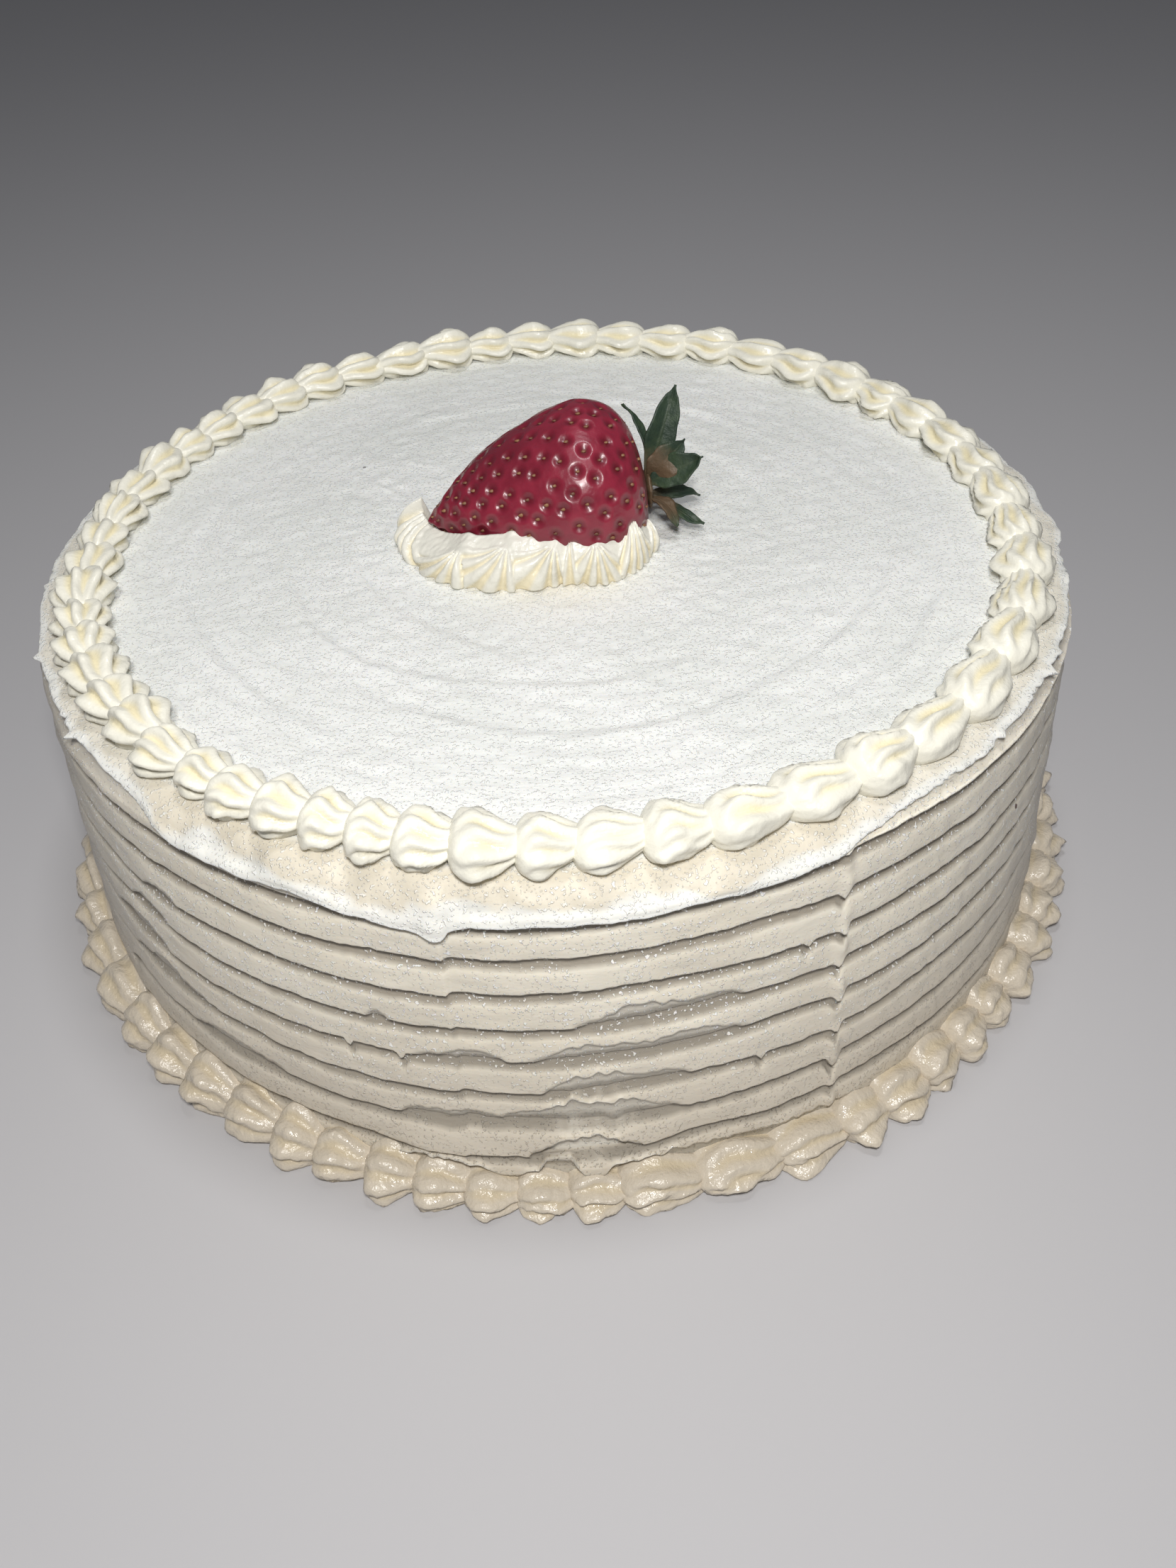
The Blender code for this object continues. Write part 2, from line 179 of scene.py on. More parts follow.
# Ruffle that holds the strawberry: its foot and its peak, from behind the tip round the front
RUFFLE = (
    ((-33.5, 10.0, 88.0), (-29.5, 9.5, 91.0)),
    ((-37.2, 2.0, 88.0), (-31.0, 3.4, 95.2)),
    ((-35.8, -7.5, 88.0), (-28.6, -4.0, 95.8)),
    ((-29.5, -16.4, 88.0), (-23.8, -8.6, 96.2)),
    ((-20.5, -22.0, 88.0), (-19.0, -13.8, 98.6)),
    ((-10.0, -24.4, 88.0), (-10.0, -15.6, 99.4)),
    ((-1.5, -23.2, 88.0), (-0.5, -17.6, 100.0)),
    ((4.6, -22.4, 88.0), (5.0, -18.0, 100.2)),
    ((11.8, -23.6, 88.0), (11.0, -18.6, 99.0)),
    ((19.8, -18.6, 88.0), (18.4, -13.4, 100.2)),
    ((24.2, -10.6, 88.0), (21.6, -8.0, 98.2)),
    ((24.6, -6.0, 88.0), (22.2, -5.0, 91.5)),
)

# Its fans: row and rise of the apex, first and last direction in degrees from straight down, ridges, peak
FANS = ((1.2, 1.6, -40, 38, 6, 0.0), (3.75, 0.8, -64, 24, 4, 0.7), (4.98, 0.82, -86, 20, 5, 0.9),
        (6.3, 0.8, -82, 22, 4, 0.7), (6.85, 0.95, -16, 14, 1, 0.0), (7.75, 0.86, -54, 50, 5, 0.7),
        (9.0, 1.1, -34, 34, 5, 1.3), (10.2, 1.1, -26, 26, 2, 0.2))
ROWS_HIGH = 1.4
FAN_BULGE = 2.2
RIDGE_DEPTH = 1.5
CREST_SHARE = 0.68

# Turned pieces: how many columns they have, and how their height is cut
SIDE_COLUMNS = 760
SIDE_STEPS = (10, 12)
TOP_COLUMNS = 720
TOP_STEPS = (8, 16)
BERRY_COLUMNS = 300
BERRY_STEPS = (13, 16)
RUFFLE_COLUMNS = 72
RUFFLE_STEPS = (16, 20)

# Camera: place in metres, turns in degrees and lens
CAMERA_PLACE = (0.0, -0.30244, 0.26800)
CAMERA_TURN = -1.11
CAMERA_DIP = 40.826
CAMERA_ROLL = -2.736
CAMERA_LENS = 32.465

# Lamps: name, place, what they point at, size, power and colour
LAMPS = (("key", (-0.03, -0.44, 0.62), (0, -0.02, 0.05), 0.11, 2.0, (1.0, 0.985, 0.96)),
         ("flash", (0.01, -0.31, 0.35), (0, -0.02, 0.06), 0.03, 0.6, (1.0, 0.99, 0.97)),
         ("top", (0.04, 0.0, 0.85), (0, 0, 0.06), 0.16, 1.5, (0.97, 0.98, 1.0)))
SKY_COLOUR = (0.9, 0.93, 1.0, 1.0)
SKY_STRENGTH = 0.11
FLOOR_SIZE = 6.0
FLOOR_Z = -0.0002
FLOOR_COLOUR = (0.52, 0.51, 0.52, 1.0)

# Piped cream: colour of its ridges and of its grooves, roughness and depth of the grain; the groove colour is
# painted warm shade
RIM_CREAM = ((0.88, 0.855, 0.745), (0.86, 0.765, 0.49), 0.36, 0.22)
# The foot's cream is darker than the rim's: painted shade, as the foot stands low in the side's shade.
FOOT_CREAM = ((0.66, 0.585, 0.475), (0.65, 0.55, 0.385), 0.29, 0.5)
RUFFLE_CREAM = ((0.78, 0.76, 0.675), (0.80, 0.715, 0.50), 0.36, 0.22)
ICING_SCATTER = (1.0, 0.85, 0.65)


# Numbers and meshes

def along(rows, azimuth):
    """Read a value at each azimuth from rows of (azimuth, value) that run once round."""
    at, value = np.array(rows, float).T
    turned = (np.asarray(azimuth, float) - at[0]) % 360 + at[0]
    return np.interp(turned, np.append(at, at[0] + 360), np.append(value, value[0]))


def smooth(low, high, value):
    """0 below low, 1 above high, and a soft rise between."""
    part = np.clip((value - low) / (high - low), 0, 1)
    return part * part * (3 - 2 * part)


def hump(value, middle, half_width):
    """A soft hump of 1 at the middle."""
    return np.exp(-((value - middle) / half_width) ** 2)


def waves(places, size, seed, count=24):
    """Smooth random relief, mostly within -1 and 1, with swellings about `size` apart."""
    draw = np.random.default_rng(seed)
    heading = draw.normal(size=(count, places.shape[1]))
    heading /= np.linalg.norm(heading, axis=1)[:, None]
    heading *= math.tau / (size * draw.uniform(0.7, 1.6, count))[:, None]
    phase = draw.uniform(0, math.tau, count)
    return np.sin(places @ heading.T + phase).sum(axis=1) / math.sqrt(count)


def read_places(mesh):
    flat = np.empty(len(mesh.vertices) * 3, np.float32)
    mesh.vertices.foreach_get("co", flat)
    return flat.reshape(-1, 3).astype(float)


def write_places(mesh, places):
    """Set the places of all vertices, given in millimetres."""
    mesh.vertices.foreach_set("co", (places * MM).astype(np.float32).ravel())
    mesh.update()


def paint(mesh, name, values):
    """Keep one number for each vertex, for the materials to read."""
    layer = mesh.attributes.new(name, "FLOAT", "POINT")
    layer.data.foreach_set("value", np.asarray(values).astype(np.float32))


def turn_of(azimuth):
    """Unit directions at azimuths, counted from the front (-Y) towards the right (+X)."""
    angle = np.radians(azimuth)
    return np.sin(angle), -np.cos(angle)


def write_turned(mesh, azimuth, radius, height, forward=0.0):
    """Set the places of all vertices by azimuth, radius and height, moved towards the front."""
    ax, ay = turn_of(azimuth)
    write_places(mesh, np.stack([ax * radius, ay * radius - forward, height], axis=1))


def start_piece(name, primitive, **sizes):
    """Add a primitive, named and selected alone."""
    bpy.ops.object.select_all(action="DESELECT")
    primitive(**sizes)
    piece = bpy.context.object
    piece.name = name
    piece.data.name = name
    return piece


def column_of(places, columns):
    """Number of the column that each vertex of a round primitive is in."""
    return np.rint(np.arctan2(places[:, 1], places[:, 0]) / math.tau * columns).astype(int) % columns


def add_ball(name, columns, rings):
    """A sphere primitive, and each vertex's ring, from the top, and column."""
    ball = start_piece(
        name, bpy.ops.mesh.primitive_uv_sphere_add, segments=columns, ring_count=rings, radius=1.0)
    places = read_places(ball.data)
    ring = np.rint(np.arccos(np.clip(places[:, 2], -1, 1)) / math.pi * rings).astype(int)
    return ball, ring, column_of(places, columns)


def add_drum(name, columns, steps):
    """A cylinder primitive, cut level by level, and each vertex's ring, from the top's middle, and column.

    The steps are the numbers of parts that its height is cut in, first whole and then each part again.
    """
    drum = start_piece(
        name, bpy.ops.mesh.primitive_cylinder_add, vertices=columns, radius=1.0, depth=2.0,
        end_fill_type="TRIFAN")
    bpy.ops.object.mode_set(mode="EDIT")
    bpy.ops.mesh.select_mode(type="EDGE")
    for parts in steps:
        bpy.ops.mesh.select_all(action="DESELECT")
        bpy.ops.object.mode_set(mode="OBJECT")
        heights = read_places(drum.data)[:, 2]
        ends = np.empty(len(drum.data.edges) * 2, np.int32)
        drum.data.edges.foreach_get("vertices", ends)
        upright = np.ptp(heights[ends.reshape(-1, 2)], axis=1) > 1e-4
        drum.data.edges.foreach_set("select", upright)
        bpy.ops.object.mode_set(mode="EDIT")
        bpy.ops.mesh.subdivide(number_cuts=parts - 1)
    bpy.ops.object.mode_set(mode="OBJECT")
    places = read_places(drum.data)
    levels = math.prod(steps)
    ring = 1 + np.rint((1 - places[:, 2]) / 2 * levels).astype(int)
    middle = np.hypot(places[:, 0], places[:, 1]) < 0.5
    ring[middle & (places[:, 2] > 0)] = 0
    ring[middle & (places[:, 2] < 0)] = levels + 2
    return drum, ring, column_of(places, columns)


def copy_of(thing, name):
    """A copy of a piece with a mesh of its own."""
    copy = thing.copy()
    copy.data = thing.data.copy()
    copy.name = name
    bpy.context.scene.collection.objects.link(copy)
    return copy


def join(things, name):
    bpy.ops.object.select_all(action="DESELECT")
    for thing in things:
        thing.select_set(True)
    bpy.context.view_layer.objects.active = things[0]
    bpy.ops.object.join()
    made = bpy.context.object
    made.name = name
    made.data.name = name
    return made


def finish_piece(thing, look, slot, *nodes):
    """Smooth a piece, give it its material, and let it ride for the nodes that it stands for."""
    thing.data.materials.clear()
    thing.data.materials.append(look)
    thing.data.shade_smooth()
    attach(thing, "root")
    if nodes:
        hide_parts(*nodes)
    return thing


# Shader maths

class Value:
    """One socket of a material, so that a sum written with it adds Math nodes."""

    def __init__(self, look, socket):
        self.look = look
        self.socket = socket

    def math(self, operation, *values):
        return self.look.node("ShaderNodeMath", {"operation": operation}, dict(enumerate(values)))

    def __add__(self, other):
        return self.math("ADD", self, other)

    def __radd__(self, other):
        return self.math("ADD", other, self)

    def __sub__(self, other):
        return self.math("SUBTRACT", self, other)

    def __rsub__(self, other):
        return self.math("SUBTRACT", other, self)

    def __mul__(self, other):
        return self.math("MULTIPLY", self, other)

    def __rmul__(self, other):
        return self.math("MULTIPLY", other, self)

    def __pow__(self, other):
        return self.math("POWER", self, other)


class Look:
    """One material, built node by node."""

    def __init__(self, name):
        self.material = bpy.data.materials.new(name)
        self.material.use_nodes = True
        self.tree = self.material.node_tree
        self.tree.nodes.clear()

    def node(self, kind, settings=None, inputs=None, output=0):
        """Add a node of a kind, set it up, fill its sockets and return one of its outputs."""
        made = self.tree.nodes.new(kind)
        for key, value in (settings or {}).items():
            setattr(made, key, value)
        for key, value in (inputs or {}).items():
            if isinstance(value, Value):
                self.tree.links.new(value.socket, made.inputs[key])
            else:
                made.inputs[key].default_value = value
        return Value(self, made.outputs[output])

    def place(self):
        """Place on the object in millimetres."""
        coordinates = self.node("ShaderNodeTexCoord", output=3)
        return self.node("ShaderNodeVectorMath", {"operation": "SCALE"}, {0: coordinates, "Scale": 1 / MM})

    def split(self, vector):
        made = self.tree.nodes.new("ShaderNodeSeparateXYZ")
        self.tree.links.new(vector.socket, made.inputs[0])
        return [Value(self, socket) for socket in made.outputs]

    def combine(self, x, y, z):
        return self.node("ShaderNodeCombineXYZ", None, {0: x, 1: y, 2: z})

    def noise(self, place, size, detail=3.0, rough=0.5):
        """Soft noise of 0 to 1 with swellings of a size in millimetres."""
        return self.node("ShaderNodeTexNoise", None,
                         {"Vector": place, "Scale": 1 / size, "Detail": detail, "Roughness": rough})

    def step(self, value, low, high):
        """0 below low, 1 above high, and a soft rise between."""
        return self.node("ShaderNodeMapRange", {"interpolation_type": "SMOOTHSTEP"},
                         {0: value, 1: low, 2: high, 3: 0.0, 4: 1.0})

    def specks(self, place, rows, colour):
        """Lay small round specks over a colour."""
        for centre, radius, tone in rows:
            away = self.node(
                "ShaderNodeVectorMath", {"operation": "DISTANCE"}, {0: place, 1: centre}, output=1)
            colour = self.blend(self.step(away, radius, radius * 0.6), colour, tone)
        return colour

    def painted(self, name):
        """A number kept on the vertices."""
        return self.node("ShaderNodeAttribute", {"attribute_name": name}, output=2)

    def blend(self, part, first, second):
        """A colour between two colours."""
        first = first if isinstance(first, Value) else (*first, 1.0)
        second = second if isinstance(second, Value) else (*second, 1.0)
        return self.node("ShaderNodeMix", {"data_type": "RGBA"}, {0: part, 6: first, 7: second}, output=2)

    def bump(self, height, depth_mm, strength=1.0):
        return self.node("ShaderNodeBump", None,
                         {"Height": height, "Distance": depth_mm * MM, "Strength": strength})

    def surface(self, **inputs):
        """Principled surface; a word such as base_color is the socket Base Color."""
        known = {key.replace("_", " ").title().replace("Ior", "IOR"): value for key, value in inputs.items()}
        shader = self.node("ShaderNodeBsdfPrincipled", None, known)
        output = self.tree.nodes.new("ShaderNodeOutputMaterial")
        self.tree.links.new(shader.socket, output.inputs["Surface"])
        return self.material


def tangent_place(look, place, squeeze):
    """Coordinates that run round the cake, so that a noise is drawn out into spatula strokes."""
    x, y, z = look.split(place)
    radius = (x * x + y * y) ** 0.5
    direction = look.node("ShaderNodeVectorMath", {"operation": "NORMALIZE"}, {0: look.combine(x, y, 0.0)})
    dx, dy, _ = look.split(direction)
    return look.combine(radius + z, dx * squeeze, dy * squeeze)


def top_icing_look():
    """Smooth white icing, cool where it is spread thin, with spatula strokes, wet pits and painted sparkle,
    and painted warm shade on the shoulder.
    """
    look = Look("smooth white icing")
    place = look.place()
    strokes = look.noise(tangent_place(look, place, 26.0), 2.4, 4.0, 0.55)
    pits = look.noise(place, 1.1, 3.0, 0.6)
    clouds = look.noise(place, 26.0, 2.0)
    cream = look.painted("cream")
    colour = look.blend(look.step(clouds, 0.3, 0.7), (0.80, 0.81, 0.78), (0.86, 0.865, 0.84))
    colour = look.blend(look.step(pits, 0.62, 0.8) * 0.15, colour, (0.74, 0.76, 0.75))
    # Painted warm shade from the cream attribute: on the shoulder below the shells, and on the top in front
    # of the ruffle.
    colour = look.blend(cream * 0.9, colour, (0.70, 0.635, 0.51))
    # Painted highlights: the glossy wet specks are also made whiter in colour, as sparkle.
    wet = look.step(look.noise(place, 0.7, 1.0), 0.57, 0.68)
    colour = look.blend(wet * 0.5, colour, (0.95, 0.96, 0.94))
    colour = look.specks(place, TOP_SPECKS, colour)
    height = strokes * 0.8 + pits * 0.12 + look.noise(place, 4.0) * 0.5 + wet * 0.4
    return look.surface(
        base_color=colour, roughness=0.52 - wet * 0.3, normal=look.bump(height, 0.42),
        subsurface_weight=0.2, subsurface_radius=ICING_SCATTER, subsurface_scale=0.002,
        specular_ior_level=0.5)


def side_icing_look():
    """The same icing where the comb drew it, painted warmer than the top for the warm shade of the side, with
    level streaks, and wet specks that are glossy and painted with sparkle.
    """
    look = Look("combed icing")
    place = look.place()
    x, y, z = look.split(place)
    near = SIDE_R * (x * x + y * y) ** -0.5
    level = look.combine(x, y, z * 3.2)
    streaks = look.noise(level, 3.4, 4.0, 0.55)
    grain = look.noise(place, 0.8, 3.0, 0.6)
    bare = look.painted("bare")
    clouds = look.noise(place, 22.0, 2.0)
    # Painted shade: the side's icing gets warmer colours than the top's for the warm shade that it stands in.
    colour = look.blend(look.step(clouds, 0.3, 0.7), (0.80, 0.745, 0.63), (0.85, 0.80, 0.69))
    # Painted shade: darker towards the foot of the side.
    colour = look.blend(look.step(z, 66.0, 10.0) * 0.8, colour, (0.66, 0.59, 0.485))
    # Painted shade: darker round the flanks and the back, away from the lamps by the camera.
    colour = look.blend(look.step(y, -105.0, -40.0) * 0.7, colour, (0.51, 0.47, 0.415))
    colour = look.blend(bare * 0.85, colour, (0.64, 0.60, 0.52))
    # Painted shade: darker in the slots under the lips, where the groove attribute is high.
    colour = look.blend(look.painted("groove"), colour, (0.37, 0.33, 0.27))
    # Painted highlights: the glossy wet specks are also made whiter in colour, as sparkle on the upper side.
    wet = look.step(look.noise(place, 0.7, 1.0), 0.6, 0.67) * look.step(look.noise(place, 9.0, 2.0), 0.3, 0.5)
    colour = look.blend(wet * look.step(z, 10.0, 50.0), colour, (1.0, 0.98, 0.93))
    colour = look.specks(look.combine(x * near, y * near, z), SIDE_SPECKS, colour)
    height = streaks * 0.5 + grain * 0.15 + wet * 1.1
    return look.surface(
        base_color=colour, roughness=0.52 - wet * 0.36 + bare * 0.08, normal=look.bump(height, 0.3),
        subsurface_weight=0.4, subsurface_radius=ICING_SCATTER, subsurface_scale=0.0012,
        specular_ior_level=0.5)


def piping_look(name, ridge, groove, roughness, grain):
    """Glossy piped cream, with painted warm shade in the grooves that the nozzle left."""
    look = Look(name)
    place = look.place()
    valley = look.painted("valley")
    clouds = look.noise(place, 9.0, 2.0)
    fine = look.noise(place, 1.6, 3.0, 0.55)
    soft = look.blend(look.step(clouds, 0.3, 0.7) * 0.5, ridge, tuple(c * 0.95 for c in ridge))
    # Painted warm shade: yellower in the grooves, where the valley attribute is high.
    colour = look.blend(look.step(valley, 0.3, 1.0) * 0.85, soft, groove)
    wet = look.step(look.noise(place, 2.2, 2.0), 0.45, 0.62)
    return look.surface(
        base_color=colour, roughness=roughness - wet * 0.14, normal=look.bump(fine, grain),
        specular_ior_level=0.55)


def berry_look():
    """Wet crimson skin, darker along its back, with painted shade low down and in the dimples."""
    look = Look("strawberry skin")
    place = look.place()
    dimple = look.painted("dimple")
    dark_back_and_low_shade = look.painted("dark_back_and_low_shade")
    mottle = look.noise(place, 5.0, 3.0)
    colour = look.blend(look.step(mottle, 0.3, 0.7), (0.20, 0.010, 0.028), (0.28, 0.015, 0.040))
    # Darker along the back, and painted shade on the underside.
    colour = look.blend(dark_back_and_low_shade, colour, (0.14, 0.007, 0.019))
    # Painted shade in the dimples.
    colour = look.blend(dimple, colour, (0.12, 0.003, 0.012))
    return look.surface(
        base_color=colour, roughness=0.34 + mottle * 0.14,
        normal=look.bump(look.noise(place, 1.3, 3.0), 0.12),
        coat_weight=0.5, coat_roughness=0.22, specular_ior_level=0.5,
        subsurface_weight=0.08, subsurface_radius=(1.0, 0.15, 0.1), subsurface_scale=0.0015)


def seed_look():
    look = Look("strawberry seed")
    place = look.place()
    tone = look.noise(place, 3.0, 2.0)
    colour = look.blend(look.step(tone, 0.35, 0.65), (0.25, 0.12, 0.05), (0.13, 0.045, 0.022))
    return look.surface(base_color=colour, roughness=0.5)


def leaf_look():
    """Dark green leaf with fine veins, brown towards its stalk."""
    look = Look("strawberry leaf")
    place = look.place()
    stem = look.painted("stem")
    rib = look.painted("rib")
    patch = look.noise(place, 4.5, 4.0, 0.6)
    colour = look.blend(look.step(patch, 0.35, 0.65), (0.022, 0.042, 0.026), (0.040, 0.066, 0.034))
    colour = look.blend(rib * 0.5, colour, (0.08, 0.105, 0.055))
    colour = look.blend(look.step(stem + patch * 0.5, 0.75, 1.15), colour, (0.115, 0.075, 0.042))
    return look.surface(
        base_color=colour, roughness=0.5, normal=look.bump(look.noise(place, 1.4, 4.0, 0.6) + rib * 0.6, 0.3),
        specular_ior_level=0.45)


# The iced body

def side_radius(height):
    """Radius of the lips of the side at a height."""
    return FOOT_LIP_R - LIP_R_LOSS * height / FIRST_LIP_Z


def front_azimuths(column, columns, crowding):
    """Azimuths of the columns of a turned piece, closer together at the front."""
    even = ((column / columns * 360 + 90 + 180) % 360) - 180
    return even - crowding * np.degrees(np.sin(np.radians(even)))


def skirt_line(azimuth):
    """Edge of the smooth icing on the shoulder: its height, how much it hangs down, and its radius."""
    ax, ay = turn_of(azimuth)
    rim = np.stack([ax, ay], axis=1) * SHOULDER_R
    edge_z = along(SKIRT_LIPS, azimuth)
    edge_z += 0.18 * waves(rim, 8.0, SEED + 9) + 0.08 * waves(rim, 2.2, SEED + 10)
    hang = smooth(86.5, 82.8, edge_z)
    teeth = np.abs(waves(rim, 2.6, SEED + 12)) * smooth(-0.6, 0.8, waves(rim, 24.0, SEED + 23))
    saw = 0.5 * waves(rim, 17.0, SEED + 11) + 0.3 * np.abs(waves(rim, 6.0, SEED + 24))
    saw += 0.45 * teeth - 0.3
    flat_r = SHOULDER_R - 0.1 - along(TORN_EDGE, azimuth) * saw
    for middle, half, length in SPIKES:
        flat_r += length * hump(azimuth, middle, half)
    edge_r = flat_r + (side_radius(edge_z) + 1.3 - flat_r) * hang
    edge_r += 0.8 * hump(azimuth, LEFT_SEAM - 0.7, 1.0)
    return edge_z, hang, edge_r


def lip_lines(azimuth):
    """Height of each lip at each azimuth, and how far up each is torn away, the ragged bottom last."""
    ax, ay = turn_of(azimuth)
    ring = np.stack([ax, ay], axis=1) * SIDE_R
    lips = []
    tears = []
    for lip in range(LIPS):
        line = FIRST_LIP_Z + along(LIP_TILTS, azimuth) - lip * BAND_PITCH
        line += 0.35 * waves(ring, 60.0, SEED + lip) + 0.14 * waves(ring, 9.0, SEED + 20 + lip)
        line += 0.09 * waves(ring, 2.6, SEED + 40 + lip)
        rough = 1 + 0.22 * waves(ring, 14.0, SEED + 60 + lip) + 0.12 * waves(ring, 3.0, SEED + 80 + lip)
        tear = np.full_like(azimuth, WHOLE_LIP)
        for which, start, end, rise in TEARS:
            if which == lip:
                part = np.clip((azimuth - start) / (end - start), 0, 1)
                arch = np.sin(math.pi * part) ** 0.85
                tear = np.maximum(tear, rise * arch * np.clip(rough, 0.5, 1.5))
        for which, middle, half, drop in TABS:
            if which == lip:
                line -= drop * hump(azimuth, middle, half)
        lips.append(line)
        tears.append(tear)
    tears.append(along(BOTTOM_EDGES, azimuth) + 0.5 * waves(ring, 3.0, SEED + 90))
    return np.array(lips), np.array(tears)


def icing_side(look):
    """The combed side: lapped bands with a slot under each lip, torn patches, shreds and two seams."""
    first = len(CAP_RADII)
    last = first + BAND_ROWS * (LIPS + 1)
    side, ring, column = add_drum("icing_side", SIDE_COLUMNS, SIDE_STEPS)
    azimuth = front_azimuths(column, SIDE_COLUMNS, 0.45)
    ax, ay = turn_of(azimuth)
    lips, tears = lip_lines(azimuth)
    upper = np.vstack([np.full_like(azimuth, TOP_Z - 1.8), lips])
    lower = np.vstack([lips, np.zeros_like(azimuth)])
    band = np.clip((ring - first) // BAND_ROWS, 0, LIPS)
    row = np.clip((ring - first) - band * BAND_ROWS, 0, BAND_ROWS - 1)
    each = np.arange(len(ring))
    high = upper[band, each]
    low = lower[band, each]
    tear = np.clip(tears[band, each], 0.3, high - low - 1.0)
    squeeze = np.clip((high - low - tear) / (SLOT_DROPS[-1] + 0.4), 0.2, 1)

    edge = low + tear
    slot = np.arange(len(SLOT_DROPS))
    bulge_top = high - SLOT_DROPS[-1] * squeeze
    middle = np.clip((row - SLOT_END) / (LIP_ROW - SLOT_END), 0, 1)
    bare = smooth(0.6, 1.4, tear)
    level = 0.25 - 0.85 * bare
    rows = [row <= SLOT_END, row <= FACE_END, row == LIP_ROW, row == LIP_ROW + 1, row == LIP_ROW + 2]
    height = np.select(
        rows,
        [high - np.interp(row, slot, SLOT_DROPS) * squeeze,
         bulge_top + (edge + 0.15 - bulge_top) * middle, edge + 0.15, edge - 0.15, low + 0.5 * tear],
        low + 0.08)
    offset = np.select(
        rows,
        [np.interp(row, slot, SLOT_OFFSETS), -0.3 + 0.55 * middle ** 0.6, 0.25, level, level - 0.05],
        level - 0.25)
    gone = smooth(3.8, 7.4, tears[np.maximum(band - 1, 0), each]) * (band > 0) * (row <= SLOT_END)
    offset += (-0.9 - offset) * gone
    # How much painted shade each row of a slot gets.
    groove = np.interp(row, slot, SLOT_PAINTED_SHADE) * (band > 0) * (1 - gone)

    places = np.stack([ax * SIDE_R, ay * SIDE_R, height], axis=1)
    offset += 0.22 * waves(places * (1, 1, 2.0), 26.0, SEED + 1)
    offset += 0.08 * waves(places * (1, 1, 2.5), 7.0, SEED + 2)
    stutter = smooth(25.5, 29, azimuth) * smooth(90, 60, azimuth)
    offset += 0.05 * stutter * waves(places * (1, 1, 0.12), 3.4, SEED + 3)
    rise = np.where(azimuth < LEFT_SEAM, smooth(-20, LEFT_SEAM, azimuth), 0) * smooth(50, 58, height)
    offset += 0.6 * rise
    lumps = 0.6 + 0.5 * waves(places, 6.0, SEED + 4)
    offset += 1.2 * hump(azimuth, RIGHT_SEAM - 0.2, 0.6) * np.clip(lumps, 0, 1.4)
    over_foot = smooth(-22, -14, azimuth) * smooth(10, 3, azimuth) * smooth(24, 12, height)
    under_lip = row > LIP_ROW
    offset += OVERHANG * over_foot * (1 - bare * under_lip) * (1 - gone)
    edge_z, hang, _ = skirt_line(azimuth)
    offset -= 3.4 * hang * smooth(edge_z - 1.3, edge_z - 0.3, height)
    radius = side_radius(height) + offset

    cap = ring < first
    radius = np.where(cap, np.array(CAP_RADII)[np.minimum(ring, first - 1)], radius)
    height = np.where(cap, TOP_Z - CAP_DROP, height)
    foot = ring >= last
    radius = np.where(foot, np.where(ring == last, FOOT_LIP_R - 3.0, 0.0), radius)
    height = np.where(foot, 0.0, height)
    write_turned(side.data, azimuth, radius, height)
    paint(side.data, "bare", np.where(cap | foot, 0, np.maximum(bare * under_lip, 0.8 * gone)))
    # The groove attribute carries the painted shade of the slots.
    paint(side.data, "groove", np.where(cap | foot, 0, groove))
    return finish_piece(side, look, "white_icing", "cake_body")


def spatula_relief(x, y):
    """Height of the marks that the spatula left on the top."""
    radius = np.hypot(x, y)
    near = np.maximum(radius, 1.0)
    round_place = np.stack([radius, 30 * x / near, 30 * y / near], axis=1)
    flat = np.stack([x, y], axis=1)
    relief = 0.12 * waves(round_place, 5.0, SEED + 5) + 0.07 * waves(round_place, 2.2, SEED + 6)
    relief += 0.3 * waves(flat, 70.0, SEED + 7) + 0.06 * waves(flat, 6.0, SEED + 8)
    azimuth = np.degrees(np.arctan2(x, -y))
    for arc_r, middle, half, step, drift in ARCS:
        swing = (azimuth - middle + 180) % 360 - 180
        line = radius - arc_r - drift * swing + 1.2 * np.sin(np.radians(swing) * 5)
        away = np.abs(line)
        fade = smooth(half, half * 0.4, np.abs(swing))
        relief += step * fade * np.sign(line) * np.exp(-away / 3.0) * smooth(0, 0.8, away)
    for middle_x, middle_y, length, turn, high in DABS:
        ax = math.cos(math.radians(turn))
        ay = math.sin(math.radians(turn))
        run = (x - middle_x) * ax + (y - middle_y) * ay
        side = (y - middle_y) * ax - (x - middle_x) * ay + 0.5 * waves(flat, 5.0, SEED + 25)
        relief += high * hump(run, 0, length) * (hump(side, 0, 0.9) + 0.4 * hump(side, -2.2, 1.2))
    return relief * smooth(0, 12, radius)


